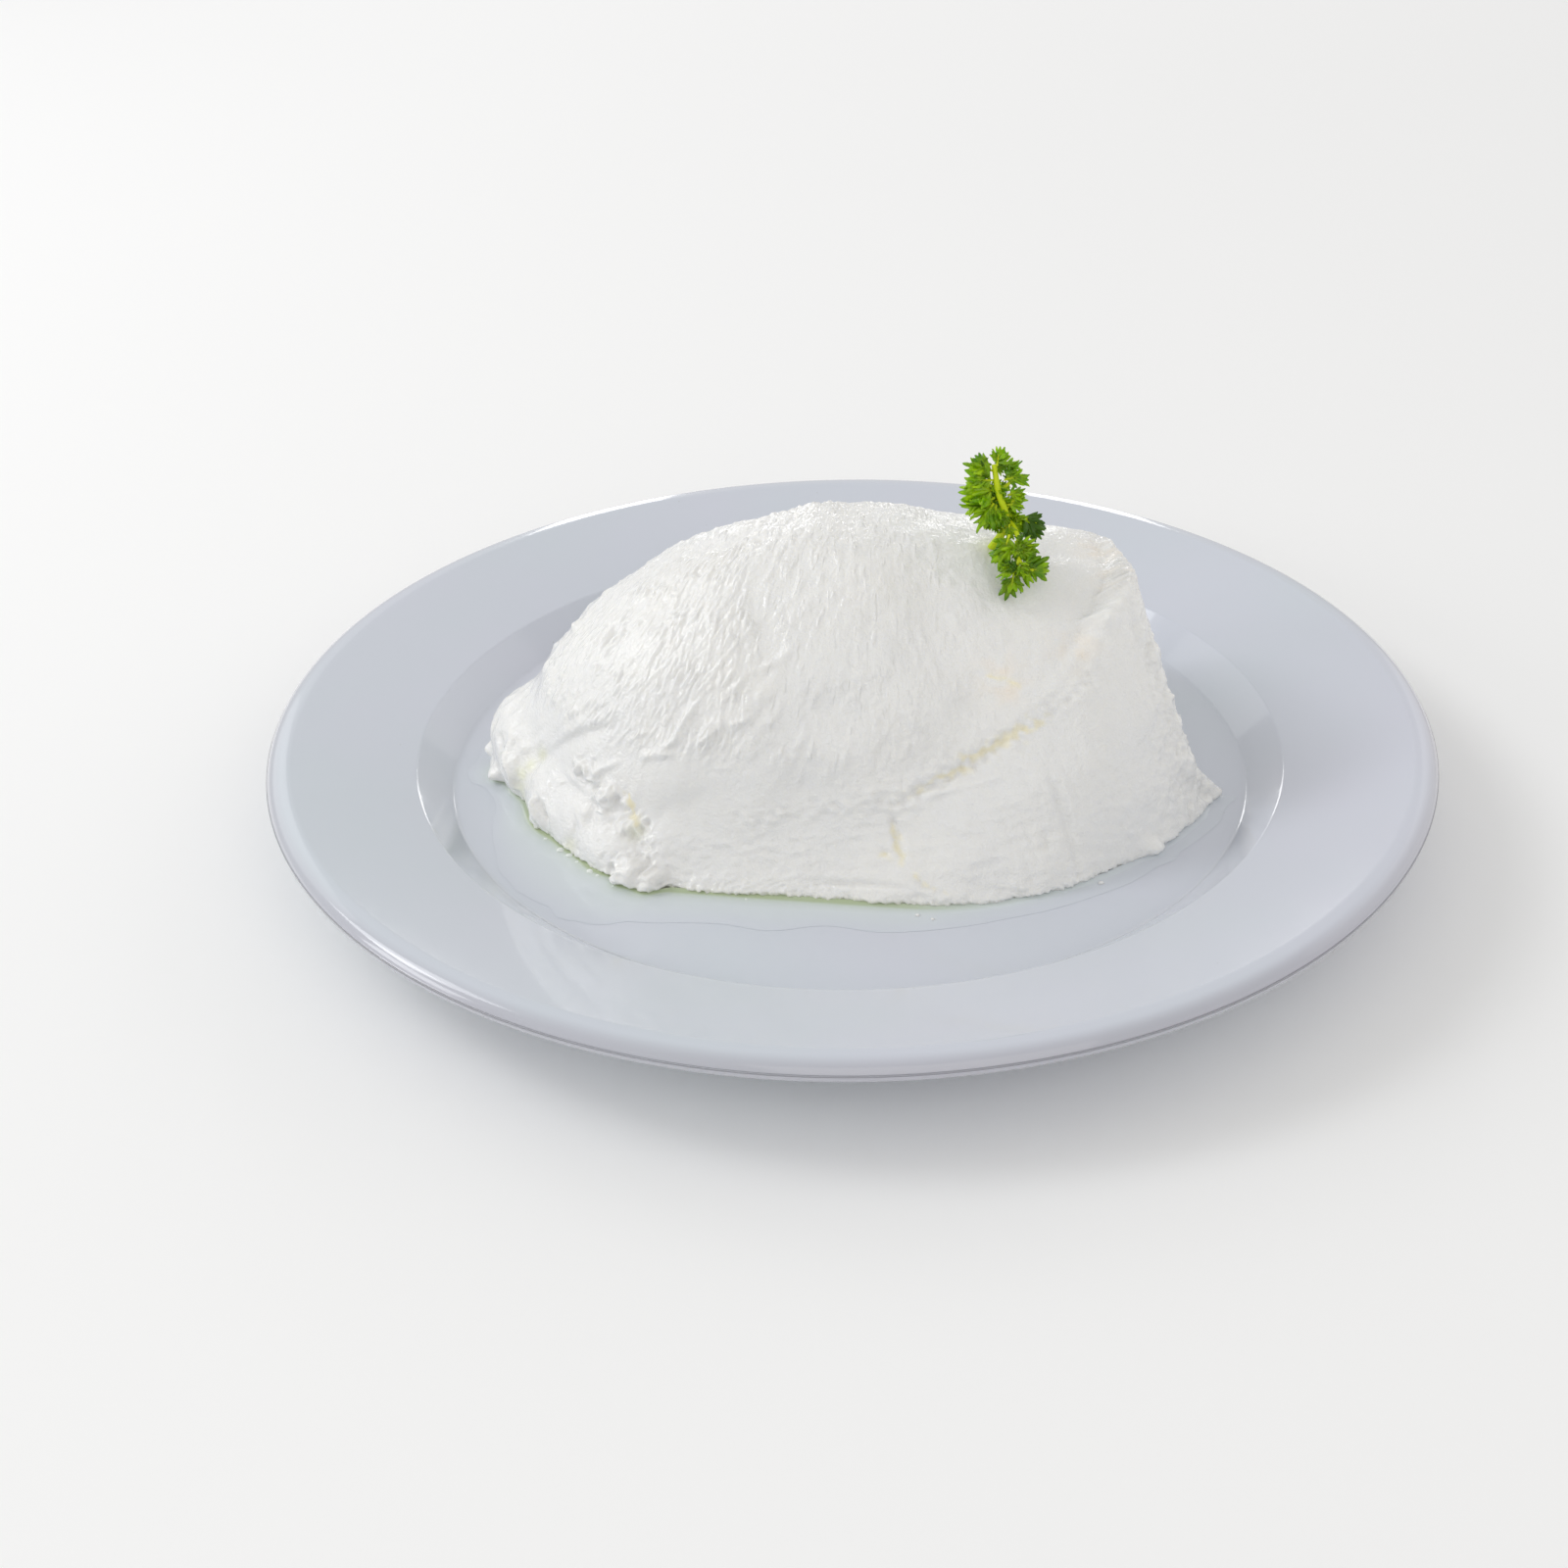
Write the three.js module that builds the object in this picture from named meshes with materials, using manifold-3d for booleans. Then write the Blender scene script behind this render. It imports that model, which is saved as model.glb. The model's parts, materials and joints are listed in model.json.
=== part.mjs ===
// A big scoop of thick strained yogurt on a wide-rimmed glazed dinner plate, with a sprig of
// curly parsley stood in its top. Millimetres, +Z up. The origin is on the table under the
// plate's centre, +X is to the right and +Y is away from the side that faces the eater.
import * as THREE from 'three';
import { mergeVertices } from 'three/addons/utils/BufferGeometryUtils.js';
import Module from 'manifold-3d';

const wasm = await Module();
wasm.setup();

// ---- Driving dimensions: plate ----
const PLATE_RADIUS = 110;
const PLATE_SEGMENTS = 64;
const WELL_FLOOR = 6.5; // top of the flat well above the table
const WELL_RADIUS = 76; // foot of the well's wall
const SHOULDER_RADIUS = 82.5; // where the wall turns into the rim
const SHOULDER_HEIGHT = 12.2;
const CREST_RADIUS = 105.5; // highest ring of the rim, just inside the lip
const CREST_HEIGHT = 18.4;
const LIP_THICKNESS = 4.6;
const LIP_UNDERCUT = 3.4; // how far in from the edge the lip's underside starts
const LIP_ROUND = 1.6; // height of the rounded outer edge above that underside
const BASE_THICKNESS = 4.5; // floor of the well down to the bare base
const FOOT_OUTER = 63;
const FOOT_INNER = 57;
const FOOT_TAPER = 0.8; // how much wider the foot ring is at its root, on each side
const UNDERSIDE_WALL_OUT = 2; // the underside's corners lie outside those of the top
const UNDERSIDE_SHOULDER_OUT = 1.6;

// ---- Driving dimensions: yogurt, heights above the well floor ----
const MOUND_RINGS = 32; // rings of triangles from the top down to the foot
const MOUND_CENTRE = new THREE.Vector3(0, -4, 0); // every surface point is seen from here
const MOUND_REACH = 92; // farther from that centre than any point of the mound
const SEARCH_STEP = 1;
const SEARCH_HALVINGS = 14;

const DOME = {
  x: 9, y: 0, turn: THREE.MathUtils.degToRad(4),
  left: 72.5, right: 80, front: 41, back: 38, // half axes from the dome's own centre
  height: 51.6, droop: 3.4, droopLength: 28, // the right half is lower by the droop
  squareness: 2.5, // exponent of the plan outline: 2 is an ellipse
};
const TOP_PLANE = { x: 10, height: 50.4, fall: 0.115 }; // scraped top, falling to the right
// The right side keeps the round wall of the tub that it was scooped from.
const TUB_WALL = { x: 2.9, y: 21.9, radius: 75.8, draft: THREE.MathUtils.degToRad(21.5) };
// Beyond it the scoop was torn off along a steep, nearly flat end.
const TORN_END = {
  x: 65.6, y: -20, z: 1.5, normalX: 0.995, normalY: 0.1, lean: THREE.MathUtils.degToRad(17),
};
// The skirt is what slumped forward on the plate: flat slopes that rise from ground lines.
const SKIRT_FRONT = { from: [-36.8, -46], to: [18.9, -53.3], slope: 50 };
const SKIRT_RIGHT = { from: [18.9, -53.3], to: [43.5, -46.6], slope: 58 };
const SKIRT_LEFT = { from: [-50, -33.5], to: [-36.8, -46], slope: 52 };
const SKIRT_TOP = [[-60, 4], [-40, 6], [-20, 12], [5, 16], [20, 22], [34, 31], [60, 52]]; // x, height
const SKIRT_PROUD = 1.4; // how far the skirt stands out of the tub's wall
const SKIRT_LEFT_END = { x: -52, across: 0.9, up: 0.3 }; // a steep face that ends the skirt
const SKIRT_BACK = 10;
// How softly each pair of faces runs into the other.
const BLEND = {
  top: 3, wall: 1.2, end: 1.2, skirtRight: 3, skirtLeft: 1.5, skirtWall: 1, skirtLeftEnd: 2,
  skirtTop: 2, skirtBack: 3, skirt: 0.9, flake: 0.8,
};

// Lumps and lobes: centre, half axes and the width of the blend into the mass.
const LUMPS = [
  { name: 'tongue', at: [-56.5, 0.5, 5.5], size: [13.2, 12.5, 10.0], blend: 4 },
  { name: 'hanging drop', at: [-61.2, -9.0, 5.2], size: [5.6, 7.4, 6.6], blend: 2.5 },
  { name: 'upper nub', at: [-69.0, -1.0, 3.2], size: [1.9, 2.0, 1.6], blend: 1 },
  { name: 'lower nub', at: [-67.6, -8.2, 1.8], size: [1.8, 1.7, 1.3], blend: 1 },
  { name: 'root of the nubs', at: [-64.5, -4.5, 1.5], size: [5.0, 5.0, 3.2], blend: 1.5 },
  { name: 'left lobe', at: [-52.5, -20.0, 3.0], size: [7.4, 9.0, 6.8], blend: 1.6 },
  { name: 'middle lobe', at: [-46.5, -27.0, 3.0], size: [6.0, 7.5, 6.0], blend: 2 },
  { name: 'right lobe', at: [-41.5, -34.8, 1.5], size: [6.5, 6.5, 6.5], blend: 2 },
  { name: 'crumb', at: [-38.6, -42.4, 1.4], size: [3.8, 3.3, 3.2], blend: 1 },
  { name: 'small crumb', at: [-35.4, -45.2, 1.0], size: [3.2, 2.2, 2.4], blend: 1 },
  { name: 'first peak', at: [-45.5, -26.5, 14.0], size: [4.2, 2.2, 1.7], blend: 1.2 },
  { name: 'second peak', at: [-43.0, -32.0, 11.0], size: [2.4, 2.2, 2.6], blend: 1.2 },
  { name: 'third peak', at: [-38.2, -36.0, 8.0], size: [3.6, 2.2, 1.8], blend: 1.2 },
  { name: 'corner spike', at: [66.2, -16.2, 0.0], size: [3.6, 3.6, 2.6], blend: 1.2 },
  { name: 'step in the foot', at: [53.0, -34.2, 0.5], size: [4.5, 3.0, 3.2], blend: 1 },
  { name: 'knob on the crease', at: [46.0, -19.5, 40.5], size: [2.0, 1.6, 1.8], blend: 1 },
  { name: 'back lobe', at: [-38.0, 27.5, 2.0], size: [13.0, 6.5, 7.0], blend: 3 },
  { name: 'second back lobe', at: [-14.0, 35.5, 1.5], size: [11.0, 5.5, 6.0], blend: 3 },
  { name: 'slumped back foot', at: [19.0, 37.5, 1.0], size: [17.0, 5.0, 9.0], blend: 4 },
  { name: 'back corner', at: [45.5, 32.0, 1.5], size: [9.0, 6.5, 8.0], blend: 4 },
];

// Creases and raised folds: a line on the surface, how deep (raised is negative) and how wide.
const FOLDS = [
  {
    name: 'main crease', depth: 1.3, width: 1.1,
    line: [[46.5, -20.5, 39.5], [43.6, -26.3, 32.1], [33, -32.8, 26.6], [19.2, -37.5, 19.2],
      [8.9, -39.8, 14.6], [-18.6, -39.9, 11.8], [-33, -40.5, 7.3]],
  },
  {
    name: 'lip over the crease', depth: -0.8, width: 1.5,
    line: [[44.5, -22, 40.5], [41.5, -27, 34.6], [31.5, -33.2, 29.2], [17.5, -37.6, 21.8]],
  },
  {
    name: 'upper fold', depth: 0.7, width: 0.9,
    line: [[23.6, -28, 36.2], [28.8, -25.2, 38.5], [45.2, -20.4, 39.7]],
  },
  {
    name: 'seam in the wall', depth: 0.8, width: 0.8,
    line: [[34.9, -36.9, 18.6], [38.1, -40.6, 11.6], [41, -45.5, 0.5]],
  },
  { name: 'streak in the skirt', depth: 0.8, width: 0.7, line: [[7.7, -40.9, 12.9], [9.6, -46.5, 6.6]] },
  {
    name: 'edge of the tongue', depth: 1.8, width: 1.4,
    line: [[-58.5, -17.8, 3.5], [-57.2, -17, 10], [-52.2, -20.5, 16], [-39.2, -28.6, 25.1]],
  },
  {
    name: 'left ridge', depth: -1.1, width: 1.2,
    line: [[-34.9, -33.3, 21.2], [-30.2, -33.4, 24.4], [-26.8, -30.9, 30.1]],
  },
  {
    name: 'long ridge', depth: -1.0, width: 1.2,
    line: [[-27.8, -35.4, 21.7], [-23.3, -33.7, 27.1], [-18.3, -33.9, 28.2], [-10, -28.5, 37.2]],
  },
  { name: 'right ridge', depth: -0.9, width: 1.1, line: [[-19.4, -37, 21.6], [-12.8, -33.7, 29.7]] },
  {
    name: 'back crease', depth: 1.2, width: 1.3,
    line: [[-44, 25, 14], [-24, 32.5, 14.5], [4, 36.5, 13], [30, 37, 17], [44, 33, 23]],
  },
  { name: 'upper back fold', depth: 0.9, width: 1.2, line: [[2, 29, 33], [20, 29.5, 33], [38, 31, 28]] },
  { name: 'back ridge', depth: -1.0, width: 1.3, line: [[-33, 23, 28], [-20, 21, 37], [-12, 17, 43]] },
];
const FOLD_TAPER = 0.22; // share of a fold's length over which it rises from nothing
const FOLD_BLUNTNESS = 0.2; // how much of its depth is left at the very end

// Flakes along the torn edge, from the top right corner down to the foot.
const FLAKES = {
  count: 9, top: [49.6, -14.5, 43.5], foot: [62.6, -19.6, 9], size: [1.3, 2.2, 2.4],
  smallest: 0.6, variation: 0.6, spreadX: 0.7, spreadY: 2.4, seed: 7,
};

// ---- Driving dimensions: parsley, heights above the well floor ----
const STEM_RADIUS = 0.95;
const STEM_STEPS = 11;
const STALK_RADIUS = 0.65;
const STALK_STEPS = 4;
const STEM_ARC_STEPS = 3; // gives a section with six sides
const STEM_DEPTH = 8; // how far the stem reaches into the yogurt
const STEM_BASE = [26.1, -4.6, 46.4]; // where it comes out of the yogurt
const STEM_LINE = [[28.9, -4.9, 51.4], [28.6, -5.3, 55.4], [27.2, -5.4, 59.4], [26.4, -5.0, 63.2]];
const STALKS = [
  [[28.7, -5.2, 52.6], [30.6, -8.2, 51.8], [31.6, -11.6, 49.6], [31.2, -14.2, 47.8]],
  [[28.8, -5.0, 53.4], [31.4, -4.8, 54.4], [33.6, -4.6, 54.0]],
  [[27.9, -5.3, 57.4], [25.2, -5.6, 57.2], [23.4, -6.0, 56.0]],
  [[31.2, -11.0, 50.2], [33.2, -12.0, 49.2], [34.0, -12.6, 48.6]],
];
// The hole in the yogurt round the stem.
const SOCKET = { clearance: 0.3, radius: 1.35, rise: 4 };

const LEAF = {
  thickness: 0.5,
  rays: 9, // steps across a leaflet's fan
  rings: 3, // steps from its foot to its edge
  sunk: 0.5, // how far its foot starts inside the stalk
  lobes: 3, lobeDepth: 0.28, shoulders: 0.14, // shares of its length
  ruffle: 0.55, waves: 3, turnEach: 1.9, // height, number and start of the waves along the edge
  cup: 0.1,
};
// Each leaflet: foot, tip, half angle of its fan in degrees, the way that its face looks.
const LEAFLETS = [
  { foot: [26.4, -5.0, 62.2], tip: [26.4, -4.4, 67.8], fan: 52, face: [0.1, -0.9, 0.3] },
  { foot: [26.6, -5.2, 60.8], tip: [21.4, -3.6, 64.2], fan: 58, face: [-0.2, -0.8, 0.5] },
  { foot: [27.0, -5.4, 59.6], tip: [20.6, -6.2, 60.4], fan: 54, face: [0.1, -0.9, 0.5] },
  { foot: [23.9, -5.9, 56.6], tip: [21.4, -7.6, 52.2], fan: 66, face: [-0.4, -0.8, 0.4] },
  { foot: [26.8, -5.2, 61.0], tip: [30.9, -3.8, 62.8], fan: 50, face: [0.3, -0.8, 0.5] },
  { foot: [27.6, -5.2, 58.2], tip: [31.7, -5.4, 59.8], fan: 54, face: [0.2, -0.9, 0.3] },
  { foot: [28.5, -5.2, 55.2], tip: [31.8, -6.6, 55.6], fan: 56, face: [0.3, -0.7, 0.6] },
  { foot: [32.8, -4.7, 54.2], tip: [37.2, -5.4, 51.8], fan: 60, face: [0.3, -0.7, 0.7] },
  { foot: [31.0, -4.8, 54.2], tip: [33.6, -1.6, 55.6], fan: 60, face: [0.2, 0.5, 0.8] },
  { foot: [29.3, -6.0, 52.4], tip: [26.3, -9.4, 50.6], fan: 46, face: [-0.2, -0.6, 0.8] },
  { foot: [31.0, -9.4, 51.0], tip: [34.6, -8.2, 50.6], fan: 60, face: [0.3, -0.7, 0.7] },
  { foot: [31.4, -12.2, 49.2], tip: [28.0, -13.0, 48.0], fan: 44, face: [-0.1, -0.6, 0.8] },
  { foot: [33.7, -12.4, 48.9], tip: [38.6, -13.8, 47.0], fan: 56, face: [0.2, -0.6, 0.8] },
  { foot: [31.2, -13.8, 48.1], tip: [29.6, -18.2, 44.4], fan: 66, face: [0.0, -0.8, 0.6] },
];

// ---- Colours and finishes ----
const GLAZE = { color: 0xdfe4ea, roughness: 0.12 };
const YOGURT = { color: 0xf6f5ef, roughness: 0.38 };
const PARSLEY = { color: 0x4f8a16, roughness: 0.5 };

// ---- Small helpers ----
const TINY = 1e-6; // keeps a division off zero

function makeRandom(seed) {
  let state = seed;
  return () => {
    state = (state * 1664525 + 1013904223) % 4294967296;
    return state / 4294967296;
  };
}

// Joins equal vertices and drops the triangles that have shrunk to a line, as at a lathe's poles.
function closedSolid(geometry) {
  const bare = new THREE.BufferGeometry();
  bare.setAttribute('position', geometry.getAttribute('position').clone());
  if (geometry.index) {
    bare.setIndex(geometry.index.clone());
  }
  const merged = mergeVertices(bare, 1e-4);
  const index = merged.index.array;
  const kept = [];
  for (let i = 0; i < index.length; i += 3) {
    const [a, b, c] = [index[i], index[i + 1], index[i + 2]];
    if (a !== b && b !== c && c !== a) {
      kept.push(a, b, c);
    }
  }
  merged.setIndex(kept);
  return merged;
}

function toManifold(geometry) {
  const solid = closedSolid(geometry);
  return new wasm.Manifold(new wasm.Mesh({
    numProp: 3,
    vertProperties: Float32Array.from(solid.getAttribute('position').array),
    triVerts: Uint32Array.from(solid.index.array),
  }));
}

function fromManifold(manifold) {
  const mesh = manifold.getMesh();
  const geometry = new THREE.BufferGeometry();
  geometry.setAttribute('position', new THREE.BufferAttribute(mesh.vertProperties, 3));
  geometry.setIndex(Array.from(mesh.triVerts));
  return geometry;
}

function finishedMesh(name, geometry, { color, roughness }) {
  geometry.computeVertexNormals();
  const material = new THREE.MeshStandardMaterial({ color, roughness, metalness: 0 });
  const mesh = new THREE.Mesh(geometry, material);
  mesh.name = name;
  return mesh;
}

// ---- Plate ----
// Rounds each corner of an open outline with an arc of its own radius.
function roundedOutline(corners) {
  const outline = [];
  corners.forEach(({ at, radius = 0, steps = 2 }, i) => {
    const corner = new THREE.Vector2(...at);
    if (!radius) {
      outline.push(corner);
      return;
    }
    const back = new THREE.Vector2(...corners[i - 1].at).sub(corner).normalize();
    const ahead = new THREE.Vector2(...corners[i + 1].at).sub(corner).normalize();
    const halfAngle = Math.acos(THREE.MathUtils.clamp(back.dot(ahead), -1, 1)) / 2;
    const reach = radius / Math.tan(halfAngle);
    const middle = back.clone().add(ahead).normalize();
    const centre = corner.clone().addScaledVector(middle, radius / Math.sin(halfAngle));
    const start = corner.clone().addScaledVector(back, reach).sub(centre);
    const end = corner.clone().addScaledVector(ahead, reach).sub(centre);
    const turn = Math.atan2(start.x * end.y - start.y * end.x, start.dot(end));
    for (let step = 0; step <= steps; step += 1) {
      outline.push(start.clone().rotateAround(new THREE.Vector2(), (turn * step) / steps).add(centre));
    }
  });
  return outline;
}

function plateGeometry() {
  const baseHeight = WELL_FLOOR - BASE_THICKNESS;
  const lipUnderside = CREST_HEIGHT - LIP_THICKNESS;
  const outline = roundedOutline([
    { at: [0, baseHeight] },
    { at: [FOOT_INNER - FOOT_TAPER, baseHeight] },
    { at: [FOOT_INNER, 0] },
    { at: [FOOT_OUTER, 0] },
    { at: [FOOT_OUTER + FOOT_TAPER, baseHeight] },
    { at: [WELL_RADIUS + UNDERSIDE_WALL_OUT, baseHeight + 0.4], radius: 7 },
    { at: [SHOULDER_RADIUS + UNDERSIDE_SHOULDER_OUT, SHOULDER_HEIGHT - LIP_THICKNESS], radius: 9 },
    { at: [PLATE_RADIUS - LIP_UNDERCUT, lipUnderside - 0.4], radius: 1.6, steps: 1 },
    { at: [PLATE_RADIUS, lipUnderside + LIP_ROUND], radius: 1.8 },
    { at: [PLATE_RADIUS - 0.6, CREST_HEIGHT - 0.2], radius: 2.6 },
    { at: [CREST_RADIUS, CREST_HEIGHT], radius: 3, steps: 1 },
    { at: [SHOULDER_RADIUS, SHOULDER_HEIGHT], radius: 5 },
    { at: [WELL_RADIUS, WELL_FLOOR], radius: 5 },
    { at: [0, WELL_FLOOR] },
  ]);
  const widest = Math.max(...outline.map((point) => point.x));
  outline.forEach((point) => {
    point.x *= PLATE_RADIUS / widest;
  });
  const lathe = new THREE.LatheGeometry(outline, PLATE_SEGMENTS);
  lathe.rotateX(Math.PI / 2);
  return closedSolid(lathe);
}

// ---- Yogurt ----
// Each form below gives roughly how far a point lies outside it, negative inside.
function softMin(a, b, blend) {
  const share = THREE.MathUtils.clamp(0.5 + (0.5 * (b - a)) / blend, 0, 1);
  return b + (a - b) * share - blend * share * (1 - share);
}

function softMax(a, b, blend) {
  return -softMin(-a, -b, blend);
}

function domeDistance(p) {
  const dx = (p.x - DOME.x) * Math.cos(DOME.turn) + (p.y - DOME.y) * Math.sin(DOME.turn);
  const dy = (p.y - DOME.y) * Math.cos(DOME.turn) - (p.x - DOME.x) * Math.sin(DOME.turn);
  const length = dx < 0 ? DOME.left : DOME.right;
  const depth = dy < 0 ? DOME.front : DOME.back;
  const height = DOME.height - DOME.droop * THREE.MathUtils.smoothstep(p.x, 0, DOME.droopLength);
  const [u, v, w] = [Math.abs(dx) / length, Math.abs(dy) / depth, p.z / height];
  const n = DOME.squareness;
  const plan = (u ** n + v ** n + TINY ** 2) ** (1 / n);
  const level = Math.hypot(plan, w);
  const slopeU = (plan ** (2 - n) * u ** (n - 1)) / length;
  const slopeV = (plan ** (2 - n) * v ** (n - 1)) / depth;
  return ((level - 1) * level) / Math.hypot(slopeU, slopeV, w / height, TINY);
}

function lumpDistance(p, at, size) {
  const [u, v, w] = [(p.x - at[0]) / size[0], (p.y - at[1]) / size[1], (p.z - at[2]) / size[2]];
  const level = Math.hypot(u, v, w);
  return ((level - 1) * level) / Math.hypot(u / size[0], v / size[1], w / size[2], TINY);
}

// A flat slope that rises inwards from the ground line between two points.
function slopeDistance(p, { from, to, slope }) {
  const along = new THREE.Vector2(to[0] - from[0], to[1] - from[1]).normalize();
  const outside = (p.x - from[0]) * along.y - (p.y - from[1]) * along.x;
  const angle = THREE.MathUtils.degToRad(slope);
  return outside * Math.sin(angle) + p.z * Math.cos(angle);
}

// The height at x of a line drawn through a table of points.
function heightAlong(x, table) {
  const next = table.findIndex(([at]) => at > x);
  if (next < 1) {
    return next === 0 ? table[0][1] : table[table.length - 1][1];
  }
  const [[x0, h0], [x1, h1]] = [table[next - 1], table[next]];
  return h0 + ((h1 - h0) * (x - x0)) / (x1 - x0);
}

// How much a fold moves the surface at a point, fading out towards both its ends.
function foldOffset(p, { line, depth, width }) {
  const points = line.map((at) => new THREE.Vector3(...at));
  const total = points.slice(1).reduce((sum, q, i) => sum + q.distanceTo(points[i]), 0);
  const near = new THREE.Vector3();
  let best = { distance: Infinity, along: 0 };
  let walked = 0;
  for (let i = 1; i < points.length; i += 1) {
    const segment = new THREE.Line3(points[i - 1], points[i]);
    const share = segment.closestPointToPointParameter(p, true);
    const distance = segment.at(share, near).distanceTo(p);
    if (distance < best.distance) {
      best = { distance, along: walked + share * segment.distance() };
    }
    walked += segment.distance();
  }
  const fromEnd = Math.min(best.along, total - best.along) / (total * FOLD_TAPER);
  const strength = THREE.MathUtils.smoothstep(fromEnd, -FOLD_BLUNTNESS, 1);
  return depth * strength * Math.exp(-((best.distance / width) ** 2));
}

function flakeLumps() {
  const random = makeRandom(FLAKES.seed);
  return Array.from({ length: FLAKES.count }, (_, i) => {
    const share = i / (FLAKES.count - 1);
    const at = FLAKES.top.map((top, axis) => top + (FLAKES.foot[axis] - top) * share);
    const scale = FLAKES.smallest + FLAKES.variation * random();
    at[0] += FLAKES.spreadX * (random() - 0.5);
    at[1] += FLAKES.spreadY * (random() - 0.5);
    return { at, size: FLAKES.size.map((size) => size * scale), blend: BLEND.flake };
  });
}

const ALL_LUMPS = [...LUMPS, ...flakeLumps()];

function moundDistance(p) {
  const topLimit = TOP_PLANE.height - TOP_PLANE.fall * (p.x - TOP_PLANE.x);
  const dome = softMax(domeDistance(p), p.z - topLimit, BLEND.top);

  const tubRadius = TUB_WALL.radius - p.z * Math.tan(TUB_WALL.draft);
  const fromAxis = Math.hypot(p.x - TUB_WALL.x, p.y - TUB_WALL.y);
  const wall = (fromAxis - tubRadius) * Math.cos(TUB_WALL.draft);

  const beyond = (p.x - TORN_END.x) * TORN_END.normalX + (p.y - TORN_END.y) * TORN_END.normalY;
  const end = beyond * Math.cos(TORN_END.lean) + (p.z - TORN_END.z) * Math.sin(TORN_END.lean);

  const scoop = softMax(softMax(dome, wall, BLEND.wall), end, BLEND.end);

  const leftEnd = (SKIRT_LEFT_END.x - p.x) * SKIRT_LEFT_END.across + p.z * SKIRT_LEFT_END.up;
  let skirt = slopeDistance(p, SKIRT_FRONT);
  skirt = softMax(skirt, slopeDistance(p, SKIRT_RIGHT), BLEND.skirtRight);
  skirt = softMax(skirt, slopeDistance(p, SKIRT_LEFT), BLEND.skirtLeft);
  skirt = softMax(skirt, wall - SKIRT_PROUD, BLEND.skirtWall);
  skirt = softMax(skirt, end, BLEND.skirtWall);
  skirt = softMax(skirt, leftEnd, BLEND.skirtLeftEnd);
  skirt = softMax(skirt, p.z - heightAlong(p.x, SKIRT_TOP), BLEND.skirtTop);
  skirt = softMax(skirt, p.y - SKIRT_BACK, BLEND.skirtBack);

  let distance = softMin(scoop, skirt, BLEND.skirt);
  ALL_LUMPS.forEach(({ at, size, blend }) => {
    distance = softMin(distance, lumpDistance(p, at, size), blend);
  });
  FOLDS.forEach((fold) => {
    distance += foldOffset(p, fold);
  });
  return distance;
}

// The outermost surface point that a ray from the mound's centre meets.
function moundPoint(direction) {
  const at = (reach) => MOUND_CENTRE.clone().addScaledVector(direction, reach);
  let outer = MOUND_REACH;
  let inner = outer;
  while (moundDistance(at(inner)) > 0) {
    outer = inner;
    inner -= SEARCH_STEP;
  }
  for (let halving = 0; halving < SEARCH_HALVINGS; halving += 1) {
    const middle = (outer + inner) / 2;
    if (moundDistance(at(middle)) > 0) {
      outer = middle;
    } else {
      inner = middle;
    }
  }
  return at((outer + inner) / 2);
}

// A cap of rings round the top point, each ring with six more points than the one above it,
// closed below by a flat fan on the well floor.
function moundGeometry() {
  const positions = [];
  const firstOf = [];
  for (let ring = 0; ring <= MOUND_RINGS; ring += 1) {
    const fromTop = (ring / MOUND_RINGS) * (Math.PI / 2);
    const count = Math.max(1, 6 * ring);
    firstOf.push(positions.length / 3);
    for (let k = 0; k < count; k += 1) {
      const around = (2 * Math.PI * k) / count;
      const direction = new THREE.Vector3().setFromSphericalCoords(1, fromTop, around);
      direction.set(direction.z, direction.x, direction.y);
      const point = moundPoint(direction);
      positions.push(point.x, point.y, ring === MOUND_RINGS ? 0 : point.z);
    }
  }
  const index = [];
  for (let ring = 1; ring <= MOUND_RINGS; ring += 1) {
    const [inner, outer] = [firstOf[ring - 1], firstOf[ring]];
    const [innerCount, outerCount] = [Math.max(1, 6 * (ring - 1)), 6 * ring];
    for (let side = 0; side < 6; side += 1) {
      for (let k = 0; k < ring; k += 1) {
        const a = outer + ((side * ring + k) % outerCount);
        const b = outer + ((side * ring + k + 1) % outerCount);
        const c = inner + ((side * (ring - 1) + k) % innerCount);
        index.push(a, b, c);
        if (k < ring - 1) {
          index.push(c, b, inner + ((side * (ring - 1) + k + 1) % innerCount));
        }
      }
    }
  }
  const middle = positions.length / 3;
  positions.push(MOUND_CENTRE.x, MOUND_CENTRE.y, 0);
  const [footFirst, footCount] = [firstOf[MOUND_RINGS], 6 * MOUND_RINGS];
  for (let k = 0; k < footCount; k += 1) {
    index.push(footFirst + ((k + 1) % footCount), footFirst + k, middle);
  }
  const geometry = new THREE.BufferGeometry();
  geometry.setAttribute('position', new THREE.Float32BufferAttribute(positions, 3));
  geometry.setIndex(index);
  return geometry;
}

// ---- Parsley ----
function sweptStem(points, radius, steps) {
  const curve = new THREE.CatmullRomCurve3(points.map((at) => new THREE.Vector3(...at)));
  const section = new THREE.Shape().absarc(0, 0, radius, 0, 2 * Math.PI);
  const options = { steps, extrudePath: curve, curveSegments: STEM_ARC_STEPS, bevelEnabled: false };
  return new THREE.ExtrudeGeometry(section, options);
}

function stemFoot() {
  const base = new THREE.Vector3(...STEM_BASE);
  const lean = new THREE.Vector3(...STEM_LINE[0]).sub(base).normalize();
  return base.clone().addScaledVector(lean, -STEM_DEPTH);
}

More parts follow.
